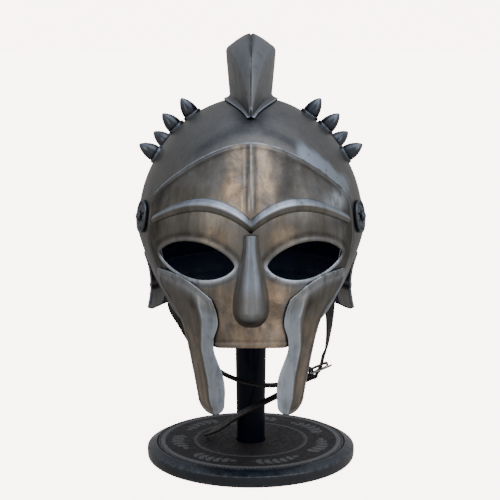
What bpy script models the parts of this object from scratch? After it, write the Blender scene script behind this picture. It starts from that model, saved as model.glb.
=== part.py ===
"""A closed-face gladiator helmet of sheet steel, shown on a turned wooden stand.

Metres, +Z up. The face looks along -Y and the stand's underside is at Z = 0.
Every plate follows one head form. A place on it is an azimuth, 0 at the face and
positive towards +X, with a height Z, and a lift, which is the distance out along its normal.
"""

import math

import bmesh
import bpy
import numpy as np
from mathutils import Matrix, Vector

# Head form
FORM_HALF_WIDTH = 0.1075
FORM_HALF_LENGTH = 0.126
FORM_CENTRE_Y = -0.003
WIDEST_Z = 0.227
CROWN_RISE = 0.124
JAW_DROP = 0.153
SIDE_TAPER = 0.47
FRONT_TAPER = 0.08
BACK_TAPER = 0.30

# Sheet and clearances
BOWL_WALL = 0.0015
PLATE_WALL = 0.0015
PLATE_GAP = 0.0011
FACE_GAP = 0.0018
SEAT_GAP = 0.0004

# Bowl
BOWL_BROW_Z = 0.258
BOWL_RIM_Z = 0.186
FLANK_Z = 0.152
FLANK_BACK_AZIMUTH = math.radians(86)
FACE_CUT_AZIMUTH = math.radians(51)
FACE_CUT_BLEND = math.radians(2)

# Face plate
FACE_TOP_Z = 0.312
FACE_TEMPLE_Z = 0.262
FACE_JAW_Z = 0.172
FACE_CHIN_Z = 0.1358
FACE_CHIN_ARCH = 0.0018
FACE_AZIMUTH = math.radians(57)
FACE_CHIN_AZIMUTH = math.radians(22)
EYE_X = 0.046
EYE_Z = 0.2135
EYE_HALF_WIDTH = 0.033
EYE_HALF_HEIGHT = 0.0170
EYE_TILT = 0.0030

# Brow band
BROW_ROOT_Z = 0.2435
BROW_RISE = 0.0175
BROW_AZIMUTH = math.radians(53)
BROW_WIDTH = 0.0120
BROW_HEIGHT = 0.0042
BROW_SEAT = 0.0007

# Nose guard
NOSE_TOP_Z = 0.2365
NOSE_FOOT_Z = 0.1570
NOSE_TOP_HALF_WIDTH = 0.0062
NOSE_HALF_WIDTH = 0.0145
NOSE_TOP_RIDGE = 0.0055
NOSE_RIDGE = 0.0165
NOSE_SEAT = 0.0012

# Cheek guards
CHEEK_INNER_TOP_Z = 0.180
CHEEK_OUTER_TOP_Z = 0.202
CHEEK_FOOT_Z = 0.071
CHEEK_FOOT_ROUND = 0.012

# Neck guard
NECK_TOP_Z = 0.203
NECK_FOOT_Z = 0.150
NECK_AZIMUTH = math.radians(90)
NECK_SIDE_FLARE = 0.019
NECK_BACK_FLARE = 0.026
NECK_CORNER_RISE = 0.007

# Crest
CREST_HEIGHT = 0.0565
CREST_HALF_WIDTH = 0.0200
CREST_FLARE = 1.16
CREST_FLANGE = 0.0045
CREST_FLANGE_TIP = 0.0020
CREST_FLANGE_SPREAD = 0.13
CREST_WALL = 0.0012
CREST_GAP = 0.0009
CREST_FRONT = math.radians(-31)
CREST_BACK = math.radians(76)

# Bosses
BOSS_RADIUS = 0.0092
BOSS_HEIGHT = 0.0190
BOSS_COLLAR = 0.0018
ROSETTE_RADIUS = 0.0152
ROSETTE_THICKNESS = 0.0028
ROSETTE_AZIMUTH = math.radians(68.5)
ROSETTE_Z = 0.243
ROSETTE_PETALS = 8
ROSETTE_SEAT = 0.0008
PIN_RADIUS = 0.0019
PIN_HEAD_RADIUS = 0.0046
PIN_HEAD_HEIGHT = 0.0034
PIN_CLEARANCE = 0.0005

# Chin strap and buckle
STRAP_WIDTH = 0.0110
STRAP_THICKNESS = 0.0022
STRAP_Y = -0.043
BUCKLE_SHARE = 0.515
BUCKLE_BELOW_ROSETTE = 0.1485
BUCKLE_SLOPE = math.radians(24)
BUCKLE_LENGTH = 0.018
BUCKLE_CORNER = 0.003
KEEPER_CORNER = 0.0016
PRONG_TIP = 0.0045
BUCKLE_WIRE = 0.00125
PRONG_WIRE = 0.0009
KEEPER_WIRE = 0.0009
KEEPER_BACK = 0.014
STRAP_PLY = 0.0017
STRAP_SEAT = 0.0006
PLY_GAP = 0.0003
BUCKLE_SIDE_GAP = 0.0009
PRONG_SLOT_GAP = 0.0008
PRONG_HOLE_GAP = 0.0007
PIN_TAIL = 0.0012
PIN_CUT = 0.008
ANCHOR_SEAT = 0.0024
TAIL_END = Vector((-0.0440, 0.0060))

# Stand
BASE_RADIUS = 0.1015
BASE_HEIGHT = 0.0155
BASE_EDGE_Z = 0.0112
BASE_BEVEL = 0.0080
BASE_LIP = 0.0014
BASE_FOOT_ROUND = 0.0035
BASE_ARRIS = 0.0006
INLAY_GAP = 0.0006
INLAY_THICKNESS = 0.0022
INLAY_PROUD = 0.0003
POST_FOOT_RADIUS = 0.0135
POST_TOP_RADIUS = 0.0178
POST_SOCKET_DEPTH = 0.0100
HEAD_BLOCK_RADIUS = 0.052
HEAD_BLOCK_HEIGHT = 0.034
HEAD_BLOCK_DOME = 0.078
HEAD_BLOCK_GAP = 0.0011
HEAD_BLOCK_NECK = 0.020
HEAD_BLOCK_STEP = 0.006

# Tables of shares of the sizes above
CREST_TABLE = (
    # position, height, width
    (0.00, 0.16, 0.06),
    (0.05, 0.54, 0.25),
    (0.11, 0.79, 0.52),
    (0.18, 0.92, 0.82),
    (0.26, 0.99, 0.98),
    (0.36, 1.00, 1.00),
    (0.50, 0.94, 1.00),
    (0.65, 0.79, 0.92),
    (0.79, 0.58, 0.74),
    (0.91, 0.33, 0.46),
    (1.00, 0.10, 0.10),
)
CHEEK_TABLE = (
    # drop, inner edge, outer edge
    (0.00, 0.300, 0.742),
    (0.12, 0.262, 0.722),
    (0.24, 0.250, 0.640),
    (0.36, 0.276, 0.552),
    (0.48, 0.278, 0.508),
    (0.60, 0.244, 0.480),
    (0.72, 0.206, 0.456),
    (0.86, 0.188, 0.428),
    (1.00, 0.192, 0.400),
)
BOSS_TABLE = (
    # sideways share of the half width, angle back from the crown in degrees
    (0.51, -2),
    (0.65, -1),
    (0.82, -9),
    (0.74, 22),
    (0.66, 50),
)
ANCHOR_TABLE = (
    # height above the pin, distance in from the bowl
    (0.009, 0.0000),
    (0.000, 0.0000),
    (-0.021, 0.0003),
    (-0.044, 0.0008),
    (-0.067, 0.0018),
)
BUCKLE_STRAP_TABLE = (
    # share of the temple's X, share of the drop, twist away from lying along Y in degrees
    (0.752, 0.411, 40),
    (0.652, 0.307, 58),
    (0.556, 0.186, 40),
    (0.425, 0.071, 12),
    (0.264, -0.010, 0),
    (0.101, -0.057, 0),
    (-0.081, -0.084, 0),
    (-0.254, -0.085, 0),
)
HOLE_STRAP_TABLE = (
    # share of the temple's X, share of the drop, twist away from lying along Y in degrees
    (0.757, 0.425, 50),
    (0.754, 0.329, 34),
    (0.743, 0.237, 19),
    (0.724, 0.155, 9),
)
TAIL_TABLE = (
    # shares of the way from the keeper to the free end, in X, Y and Z
    (0.110, 0.025, 0.105),
    (0.232, 0.092, 0.212),
    (0.476, 0.286, 0.415),
    (0.667, 0.490, 0.611),
    (0.833, 0.714, 0.812),
)


def clear_scene():
    for obj in list(bpy.data.objects):
        bpy.data.objects.remove(obj)


def material(name, colour, roughness, metallic):
    made = bpy.data.materials.new(name)
    made.use_nodes = True
    shader = made.node_tree.nodes["Principled BSDF"]
    shader.inputs["Base Color"].default_value = (*colour, 1.0)
    shader.inputs["Roughness"].default_value = roughness
    shader.inputs["Metallic"].default_value = metallic
    return made


def smoothstep(low, high, value):
    share = min(1.0, max(0.0, (value - low) / (high - low)))
    return share * share * (3 - 2 * share)


def table_value(table, column, share):
    """A column of a table at a share of its first column, run through as a smooth curve."""
    keys = [row[0] for row in table]
    values = [row[column] for row in table]
    slopes = np.gradient(values, keys)
    index = min(len(keys) - 2, max(0, int(np.searchsorted(keys, share, side="right")) - 1))
    step = keys[index + 1] - keys[index]
    t = (share - keys[index]) / step
    start, end = values[index], values[index + 1]
    return (
        (2 * t**3 - 3 * t**2 + 1) * start
        + (t**3 - 2 * t**2 + t) * step * slopes[index]
        + (3 * t**2 - 2 * t**3) * end
        + (t**3 - t**2) * step * slopes[index + 1]
    )


def level_of(z):
    """The form's level at a height: 0 at the crown, 1 at the widest, more below it."""
    if z >= WIDEST_Z:
        return math.acos(min(1.0, (z - WIDEST_Z) / CROWN_RISE)) / (math.pi / 2)
    return 1 + (WIDEST_Z - z) / (CROWN_RISE * math.pi / 2)


def form_shares(level):
    """The height at a level, and the shares of the half width, the front and the back there."""
    if level <= 1:
        share = math.sin(level * math.pi / 2)
        return WIDEST_Z + CROWN_RISE * math.cos(level * math.pi / 2), share, share, share
    drop = (level - 1) * CROWN_RISE * math.pi / 2
    pinch = math.sin((drop / JAW_DROP) ** 1.3 * math.pi / 2)
    return (
        WIDEST_Z - drop,
        1 - SIDE_TAPER * pinch,
        1 - FRONT_TAPER * pinch,
        1 - BACK_TAPER * pinch,
    )


def form_surface(azimuth, level):
    z, side, front, back = form_shares(level)
    along = front if math.cos(azimuth) > 0 else back
    return Vector(
        (
            FORM_HALF_WIDTH * side * math.sin(azimuth),
            FORM_CENTRE_Y - FORM_HALF_LENGTH * along * math.cos(azimuth),
            z,
        )
    )


def form_normal(azimuth, level):
    if level < 1e-3:
        return Vector((0, 0, 1))
    step = 1e-4
    across = form_surface(azimuth + step, level) - form_surface(azimuth - step, level)
    down = form_surface(azimuth, level + step) - form_surface(azimuth, level - step)
    return down.cross(across).normalized()


def on_form(azimuth, level, lift=0.0):
    return form_surface(azimuth, level) + form_normal(azimuth, level) * lift


def form_point(azimuth, z, lift=0.0):
    return on_form(azimuth, level_of(z), lift)


def azimuth_at(x, z):
    """The azimuth whose point on the form has this X at this height."""
    side = form_shares(level_of(z))[1]
    return math.asin(max(-1.0, min(1.0, x / (FORM_HALF_WIDTH * side))))


def crown_point(back, x, lift=0.0):
    """A point of the bowl's upper half, by its angle back from the crown and its X."""
    narrow = math.sqrt(1 - (x / FORM_HALF_WIDTH) ** 2)
    y = FORM_HALF_LENGTH * math.sin(back) * narrow
    z = CROWN_RISE * math.cos(back) * narrow
    normal = Vector((x / FORM_HALF_WIDTH**2, y / FORM_HALF_LENGTH**2, z / CROWN_RISE**2))
    return Vector((x, FORM_CENTRE_Y + y, WIDEST_Z + z)) + normal.normalized() * lift


def crown_normal(back, x):
    return (crown_point(back, x, 1.0) - crown_point(back, x)).normalized()


def add_object(name, mesh, look, smooth=40):
    obj = bpy.data.objects.new(name, mesh)
    bpy.context.scene.collection.objects.link(obj)
    if not mesh.materials:
        mesh.materials.append(look)
    if smooth:
        mesh.shade_smooth()
        mesh.set_sharp_from_angle(angle=math.radians(smooth))
    return obj


def mesh_of(bm, name):
    mesh = bpy.data.meshes.new(name)
    bm.to_mesh(mesh)
    bm.free()
    return mesh


def grid_sheet(name, rows, look, wall, around=False, mirrored=False):
    """A sheet through rows of outer points, with a wall thickness added on its inner side."""
    bm = bmesh.new()
    verts = [[bm.verts.new(point) for point in row] for row in rows]
    columns = len(rows[0])
    for upper, lower in zip(verts, verts[1:]):
        for i in range(columns if around else columns - 1):
            j = (i + 1) % columns
            bm.faces.new((upper[i], upper[j], lower[j], lower[i]))
    bmesh.ops.remove_doubles(bm, verts=bm.verts, dist=1e-6)
    bmesh.ops.recalc_face_normals(bm, faces=bm.faces)
    core = Vector((0, FORM_CENTRE_Y, WIDEST_Z))
    outward = sum(f.normal.dot(f.calc_center_median() - core) * f.calc_area() for f in bm.faces)
    if outward < 0:
        bmesh.ops.reverse_faces(bm, faces=bm.faces)
    obj = add_object(name, mesh_of(bm, name), look)
    if mirrored:
        mirror = obj.modifiers.new("Mirror", "MIRROR")
        mirror.merge_threshold = 0.00005
    solidify = obj.modifiers.new("Wall", "SOLIDIFY")
    solidify.thickness = wall
    solidify.offset = -1
    solidify.use_even_offset = True
    return obj


def ring_solid(name, sections, look, smooth=40):
    """A closed solid through sections of equal point count, capped at both ends."""
    bm = bmesh.new()
    loops = []
    for section in sections:
        verts = [bm.verts.new(point) for point in section]
        loops.append(verts)
    for first, second in zip(loops, loops[1:]):
        for i in range(len(first)):
            j = (i + 1) % len(first)
            bm.faces.new((first[i], first[j], second[j], second[i]))
    bm.faces.new(loops[0][::-1])
    bm.faces.new(loops[-1])
    bmesh.ops.recalc_face_normals(bm, faces=bm.faces)
    return add_object(name, mesh_of(bm, name), look, smooth)


def turned_mesh(name, profile, steps):
    """A solid of revolution about Z. The profile runs from the foot's axis to the top's axis."""
    bm = bmesh.new()
    verts = [bm.verts.new((radius, 0, z)) for radius, z in profile]
    edges = [bm.edges.new(pair) for pair in zip(verts, verts[1:])]
    bmesh.ops.spin(
        bm,
        geom=verts + edges,
        cent=(0, 0, 0),
        axis=(0, 0, 1),
        angle=2 * math.pi,
        steps=steps,
        use_merge=True,
    )
    bmesh.ops.remove_doubles(bm, verts=bm.verts, dist=1e-6)
    bmesh.ops.recalc_face_normals(bm, faces=bm.faces)
    return mesh_of(bm, name)


def seat_on(obj, point, normal):
    """Stands an object on a point with its own Z along the normal."""
    obj.rotation_mode = "QUATERNION"
    obj.rotation_quaternion = normal.to_track_quat("Z", "Y")
    obj.location = point
    return obj


def dome_profile(radius, height, base=0.0, rings=3):
    """A flat-footed dome standing on Z = base."""
    profile = [(0.0, base)]
    for i in range(rings + 1):
        angle = i / rings * math.pi / 2
        profile.append((radius * math.cos(angle), base + height * math.sin(angle)))
    return profile


def cut(obj, cutter):
    """Cuts one solid from another, and keeps the cutter as a hidden guide."""
    cutter.hide_render = True
    cutter.display_type = "WIRE"
    boolean = obj.modifiers.new("Cut " + cutter.name, "BOOLEAN")
    boolean.object = cutter
    boolean.operation = "DIFFERENCE"
    return obj


def rod_cutter(name, start, end, radius):
    length = (end - start).length
    mesh = turned_mesh(name, [(0, 0), (radius, 0), (radius, length), (0, length)], 12)
    return seat_on(add_object(name, mesh, None, 0), start, (end - start).normalized())


def make_bowl(steel):
    """The skull: one raised sheet, cut away for the face, with flanks down to the jaw."""
    corner = FACE_CUT_AZIMUTH
    blend = FACE_CUT_BLEND
    half = [corner * i / 6 for i in range(5)]
    half += [corner - 1.6 * blend, corner - blend, corner, corner + blend, corner + 1.6 * blend]
    temple = corner + 4 * blend
    half += [temple + (FLANK_BACK_AZIMUTH - temple) * i / 3 for i in range(3)]
    half += [FLANK_BACK_AZIMUTH + (math.pi - FLANK_BACK_AZIMUTH) * i / 7 for i in range(8)]
    azimuths = half + [-a for a in half[-2:0:-1]]
    brow = level_of(BOWL_BROW_Z)
    rows = []
    for step in range(11):
        row = []
        for azimuth in azimuths:
            turned = math.pi - abs(math.pi - azimuth % (2 * math.pi))
            rise = smoothstep(corner + 2 * blend, FLANK_BACK_AZIMUTH, turned)
            side = level_of(FLANK_Z + (BOWL_RIM_Z - FLANK_Z) * rise)
            low = brow + (side - brow) * smoothstep(corner - blend, corner + blend, turned)
            row.append(on_form(azimuth, low * (step / 10) ** 0.92))
        rows.append(row)
    bowl = grid_sheet("skull_bowl", rows, steel, BOWL_WALL, around=True)
    for side_name, sign in (("left", -1), ("right", 1)):
        cut(bowl, pin_cutter("bowl_hole_" + side_name, sign))
    return bowl


def pin_cutter(name, sign):
    """The drill of a temple pin, through rosette, bowl and strap."""
    azimuth = sign * ROSETTE_AZIMUTH
    start = form_point(azimuth, ROSETTE_Z, -PIN_CUT)
    end = form_point(azimuth, ROSETTE_Z, PIN_CUT * 0.75)
    return rod_cutter(name, start, end, PIN_RADIUS + PIN_CLEARANCE)


def face_outline():
    """Half of the face plate's edge, as azimuth and height, from the top's centre round to it."""
    points = []
    for i in range(9):
        azimuth = FACE_AZIMUTH * i / 9
        points.append((azimuth, face_top_z(azimuth)))
    for i in range(5):
        points.append((FACE_AZIMUTH, FACE_TEMPLE_Z + (FACE_JAW_Z - FACE_TEMPLE_Z) * i / 5))
    for i in range(5):
        share = i / 5
        azimuth = FACE_AZIMUTH + (FACE_CHIN_AZIMUTH - FACE_AZIMUTH) * share
        round_down = math.sin(share * math.pi / 2)
        points.append((azimuth, FACE_JAW_Z + (FACE_CHIN_Z - FACE_JAW_Z) * round_down))
    for i in range(3):
        share = 1 - i / 3
        points.append((FACE_CHIN_AZIMUTH * share, FACE_CHIN_Z + FACE_CHIN_ARCH * (1 - share**2)))
    low = FACE_CHIN_Z + FACE_CHIN_ARCH
    for i in range(10):
        points.append((0.0, low + (FACE_TOP_Z - low) * i / 10))
    return points


def face_top_z(azimuth):
    """The height of the face plate's upper edge, a low arch between the temples."""
    arch = math.cos(azimuth / FACE_AZIMUTH * math.pi / 2) ** 0.85
    return FACE_TEMPLE_Z + (FACE_TOP_Z - FACE_TEMPLE_Z) * arch


def eye_edge(angle):
    """A point of the eye opening, as distance round the form and height."""
    rise = math.sin(angle)
    z = EYE_Z + EYE_HALF_HEIGHT * rise * abs(rise) ** 0.3 + EYE_TILT * math.cos(angle)
    return EYE_X + EYE_HALF_WIDTH * math.cos(angle), z


def make_face_plate(bronze):
    """The mask: each half is a ring of sheet round its eye opening, mirrored about the nose."""
    lift = plate_lift()
    outline = face_outline()
    rows = []
    for share in (0.0, 0.17, 0.36, 0.57, 0.79, 1.0):
        row = []
        for azimuth, z in outline:
            girth = azimuth * FORM_HALF_WIDTH
            eye_x, eye_z = eye_edge(math.atan2(z - EYE_Z, girth - EYE_X))
            eye_azimuth = azimuth_at(eye_x, eye_z)
            here = eye_azimuth + (azimuth - eye_azimuth) * share
            row.append(form_point(here, eye_z + (z - eye_z) * share, lift))
        rows.append(row)
    return grid_sheet("face_plate", rows, bronze, PLATE_WALL, around=True, mirrored=True)


def plate_lift():
    """The lift of the face plate's outer side."""
    return FACE_GAP + PLATE_WALL


def brow_z(azimuth):
    """The brow band's middle: two arches that meet over the nose."""
    share = abs(azimuth) / BROW_AZIMUTH
    return BROW_ROOT_Z + BROW_RISE * math.sin(math.pi * min(1.0, share) ** 0.8)


def make_brow_band(bronze):
    """A raised band over the eyes, seated on the face plate."""
    foot = plate_lift() + BROW_SEAT
    sections = []
    for i in range(29):
        azimuth = BROW_AZIMUTH * (i / 14 - 1)
        taper = 0.45 + 0.55 * math.sin(math.pi * i / 28) ** 0.5
        half = BROW_WIDTH / 2 * taper
        middle = brow_z(azimuth)
        section = []
        for across, rise in ((-1, 0), (-0.85, 0.6), (-0.3, 1), (0.3, 1), (0.85, 0.6), (1, 0)):
            lift = foot + BROW_HEIGHT * taper * rise
            section.append(form_point(azimuth, middle + half * across, lift))
        sections.append(section)
    return ring_solid("brow_band", sections, bronze)


def nose_half_width(share):
    swell = smoothstep(0.0, 0.78, share)
    width = NOSE_TOP_HALF_WIDTH + (NOSE_HALF_WIDTH - NOSE_TOP_HALF_WIDTH) * swell
    rounding = math.sqrt(max(0.0, 1 - max(0.0, (share - 0.80) / 0.205) ** 2))
    return width * (0.12 + 0.88 * rounding)


def nose_ridge(share):
    rise = NOSE_TOP_RIDGE + (NOSE_RIDGE - NOSE_TOP_RIDGE) * (share / 0.8) ** 1.3
    return rise if share < 0.8 else NOSE_RIDGE * (1 - ((share - 0.8) / 0.205) ** 2)


def make_nose_guard(bronze):
    """A hollow ridge over the nose, wide at the nostrils and closed underneath."""
    foot = plate_lift() + NOSE_SEAT
    rows = []
    for i in range(11):
        share = i / 10
        z = NOSE_TOP_Z + (NOSE_FOOT_Z - NOSE_TOP_Z) * share
        half, ridge = nose_half_width(share), nose_ridge(share)
        row = []
        for j in range(7):
            across = j / 3 - 1
            rise = ridge * (1 - abs(across) ** 1.5)
            row.append(form_point(azimuth_at(half * across, z), z, foot + rise))
        rows.append(row)
    return grid_sheet("nose_guard", rows, bronze, PLATE_WALL * 0.8)


def cheek_point(drop, across, lift):
    """A point of the right cheek guard, by its share down and its share from inner to outer edge."""
    inner = table_value(CHEEK_TABLE, 1, drop) * FORM_HALF_WIDTH
    outer = table_value(CHEEK_TABLE, 2, drop) * FORM_HALF_WIDTH
    x = inner + (outer - inner) * across
    lean = CHEEK_OUTER_TOP_Z - CHEEK_INNER_TOP_Z
    top = CHEEK_INNER_TOP_Z + lean * (across + 0.28 * math.sin(math.pi * across))
    off = abs(2 * across - 1)
    foot = CHEEK_FOOT_Z + CHEEK_FOOT_ROUND * (1 - math.sqrt(max(0.0, 1 - off**2)))
    z = top + (foot - top) * drop
    return form_point(azimuth_at(x, z), z, lift)


def cheek_lift():
    """The lift of a cheek guard's outer side."""
    return plate_lift() + PLATE_GAP + PLATE_WALL


def make_cheek_guard(name, sign, bronze):
    """A long cheek piece with a scalloped outer edge, hanging below the face plate."""
    rows = []
    for i in range(12):
        row = []
        for j in range(6):
            point = cheek_point(i / 11, j / 5, cheek_lift())
            row.append(Vector((sign * point.x, point.y, point.z)))
        rows.append(row)
    return grid_sheet(name, rows, bronze, PLATE_WALL)


def make_neck_guard(steel):
    """A flared collar round the back, from ear to ear."""
    rows = []
    seat = PLATE_GAP + PLATE_WALL
    for i in range(6):
        down = i / 5
        row = []
        for j in range(25):
            share = j / 24
            azimuth = NECK_AZIMUTH + 2 * (math.pi - NECK_AZIMUTH) * share
            rounded = NECK_CORNER_RISE * (1 - math.sin(math.pi * share)) ** 6
            z = NECK_TOP_Z + (NECK_FOOT_Z + rounded - NECK_TOP_Z) * down
            bulge = math.sin(math.pi * share) ** 1.2
            flare = NECK_SIDE_FLARE + (NECK_BACK_FLARE - NECK_SIDE_FLARE) * bulge
            row.append(form_point(azimuth, z, seat + flare * down**2.2))
        rows.append(row)
    return grid_sheet("neck_guard", rows, steel, PLATE_WALL)


def crest_flange(share):
    """The flange's width: pointed in front, and full from CREST_FLANGE_SPREAD on."""
    spread = smoothstep(0.0, CREST_FLANGE_SPREAD, share)
    return CREST_FLANGE_TIP + (CREST_FLANGE - CREST_FLANGE_TIP) * spread


def make_crest(steel):
    """A hollow fin from the forehead to the nape, folded to an edge in front, on a flange."""
    seat = CREST_GAP + CREST_WALL
    rows = []
    for i in range(18):
        share = i / 17
        back = CREST_FRONT + (CREST_BACK - CREST_FRONT) * share
        height = CREST_HEIGHT * table_value(CREST_TABLE, 1, share)
        half = CREST_HALF_WIDTH * table_value(CREST_TABLE, 2, share)
        middle, up = crown_point(back, 0.0), crown_normal(back, 0.0)
        row = [crown_point(back, half + crest_flange(share), seat)]
        row.append(crown_point(back, half, seat))
        for wide, tall in ((CREST_FLARE * 0.97, 0.45), (CREST_FLARE, 0.74), (0.62, 0.92)):
            row.append(middle + up * (seat + height * tall) + Vector((half * wide, 0, 0)))
        ridge = middle + up * (seat + height)
        mirror = [Vector((-p.x, p.y, p.z)) for p in row[::-1]]
        rows.append(row + [ridge] + mirror)
    return grid_sheet("crest", rows, steel, CREST_WALL)


def place_bosses(steel):
    profile = [(0.0, 0.0), (BOSS_RADIUS, 0.0), (BOSS_RADIUS, BOSS_COLLAR)]
    rise = BOSS_HEIGHT - BOSS_COLLAR
    for radius, height in ((0.78, 0.10), (0.66, 0.48), (0.36, 0.84), (0.0, 1.0)):
        profile.append((BOSS_RADIUS * radius, BOSS_COLLAR + rise * height))
    mesh = turned_mesh("boss", profile, 10)
    for side, sign in (("left", -1), ("right", 1)):
        for number, (sideways, back) in enumerate(BOSS_TABLE, 1):
            angle, x = math.radians(back), sign * sideways * FORM_HALF_WIDTH
            boss = add_object(f"boss_{side}_{number}", mesh, steel)
            seat_on(boss, crown_point(angle, x, SEAT_GAP), crown_normal(angle, x))


def make_rosette(name, sign, steel):
    """A petalled disc that follows the bowl, with a hole for its pin."""
    level = level_of(ROSETTE_Z)
    centre = on_form(sign * ROSETTE_AZIMUTH, level)
    normal = form_normal(sign * ROSETTE_AZIMUTH, level)
    across = Vector((0, 0, 1)).cross(normal).normalized()
    upward = normal.cross(across)
    radii = (
        # radius share, height share of the plain disc, height of a petal on it
        (1.00, 0.40, 0.0),
        (0.92, 0.80, 0.0),
        (0.78, 0.25, 0.15),
        (0.55, 0.25, 0.75),
        (0.32, 0.50, 0.20),
    )
    hole = PIN_RADIUS + PIN_CLEARANCE
    rings = [(share * ROSETTE_RADIUS, flat, petal) for share, flat, petal in radii]
    rings += [(hole, 0.80, 0.0)]
    steps = ROSETTE_PETALS * 3

    def point(radius, angle, height):
        flat = centre + across * radius * math.cos(angle) + upward * radius * math.sin(angle)
        azimuth = math.atan2(flat.x / FORM_HALF_WIDTH, (FORM_CENTRE_Y - flat.y) / FORM_HALF_LENGTH)
        return form_point(azimuth, flat.z, ROSETTE_SEAT + height)

    loops = []
    for radius, flat, petal in rings:
        loop = []
        for i in range(steps):
            angle = 2 * math.pi * i / steps
            wave = math.cos(angle * ROSETTE_PETALS / 2) ** 2
            loop.append(point(radius, angle, ROSETTE_THICKNESS * (flat + petal * wave)))
        loops.append(loop)
    for radius in (hole, ROSETTE_RADIUS):
        loops.append([point(radius, 2 * math.pi * i / steps, 0.0) for i in range(steps)])
    bm = bmesh.new()
    verts = [[bm.verts.new(p) for p in loop] for loop in loops]
    for first, second in zip(verts, verts[1:] + verts[:1]):
        for i in range(steps):
            j = (i + 1) % steps
            bm.faces.new((first[i], first[j], second[j], second[i]))
    bmesh.ops.recalc_face_normals(bm, faces=bm.faces)
    return add_object(name, mesh_of(bm, name), steel)


def make_temple_pin(name, sign, steel):
    """The pin through rosette, bowl and strap, headed on both sides."""
    outer = ROSETTE_SEAT + ROSETTE_THICKNESS * 0.80 + SEAT_GAP
    inner = -(BOWL_WALL + ANCHOR_SEAT + STRAP_THICKNESS + STRAP_SEAT)
    profile = [(0.0, inner - PIN_TAIL), (PIN_HEAD_RADIUS * 0.8, inner - PIN_TAIL)]
    profile += [(PIN_HEAD_RADIUS * 0.8, inner), (PIN_RADIUS, inner), (PIN_RADIUS, outer)]
    profile += dome_profile(PIN_HEAD_RADIUS, PIN_HEAD_HEIGHT, outer)[1:]
    mesh = turned_mesh(name, profile, 12)
    level = level_of(ROSETTE_Z)
    pin = add_object(name, mesh, steel)
    azimuth = sign * ROSETTE_AZIMUTH
    return seat_on(pin, on_form(azimuth, level), form_normal(azimuth, level))


def buckle_frame():
    """The buckle's own axes: X to its front bar, Y across the strap and Z away from the chin."""
    origin = Vector((BUCKLE_SHARE * FORM_HALF_WIDTH, STRAP_Y, ROSETTE_Z - BUCKLE_BELOW_ROSETTE))
    return Matrix.Translation(origin) @ Matrix.Rotation(-BUCKLE_SLOPE, 4, "Y")


def curve_points(controls, steps):
    """A smooth curve through control rows of numbers, with equal steps in each span."""
    rows = [np.array(row, float) for row in controls]
    rows = [2 * rows[0] - rows[1]] + rows + [2 * rows[-1] - rows[-2]]
    points = []
    for a, b, c, d in zip(rows, rows[1:], rows[2:], rows[3:]):
        for i in range(steps):
            t = i / steps
            points.append(
                0.5
                * (
                    2 * b
                    + (c - a) * t
                    + (2 * a - 5 * b + 4 * c - d) * t**2
                    + (3 * b - a - 3 * c + d) * t**3
                )
            )
    return points + [rows[-2]]


def ribbon(name, rows, leather):
    """A flat strap along rows of a middle point and the direction of its width."""
    middles = [Vector(row[:3]) for row in rows]
    sections = []
    for i, row in enumerate(rows):
        along = (middles[min(i + 1, len(rows) - 1)] - middles[max(i - 1, 0)]).normalized()
        width = Vector(row[3:])
        width = (width - along * width.dot(along)).normalized() * STRAP_WIDTH / 2
        thick = along.cross(width).normalized() * STRAP_THICKNESS / 2
        middle = middles[i]
        sections.append(
            (
                middle - width - thick,
                middle + width - thick,
                middle + width + thick,
                middle - width + thick,
            )
        )
    return ring_solid(name, sections, leather, 30)


def anchor_rows(sign):
    """The strap's upper end, flat against the inside of the bowl under the temple pin."""
    seat = -(BOWL_WALL + ANCHOR_SEAT + STRAP_THICKNESS / 2)
    rows = []
    for z_above, inward in ANCHOR_TABLE:
        z, lift = ROSETTE_Z + z_above, seat - inward
        azimuth = sign * ROSETTE_AZIMUTH
        normal = form_normal(azimuth, level_of(z))
        width = Vector((0, 0, 1)).cross(normal)
        if width.y < 0:
            width = -width
        rows.append([*form_point(azimuth, z, lift), *width])
    return rows


def hanging_rows(table, sign):
    """A strap's route down from its anchor, from a table of shares."""
    reach = abs(form_point(ROSETTE_AZIMUTH, ROSETTE_Z, -BOWL_WALL).x)
    drop = BUCKLE_BELOW_ROSETTE
    rows = []
    for x_share, z_share, degrees in table:
        twist = math.radians(degrees)
        x, z = sign * reach * x_share, ROSETTE_Z - drop + drop * z_share
        rows.append([x, STRAP_Y, z, sign * math.sin(twist), math.cos(twist), 0.0])
    return rows


def in_buckle(places, frame):
    """Rows of strap given by their length and height in the buckle's own axes."""
    across = frame.to_3x3() @ Vector((0, 1, 0))
    return [[*(frame @ Vector((along, 0, up))), *across] for along, up in places]


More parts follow.
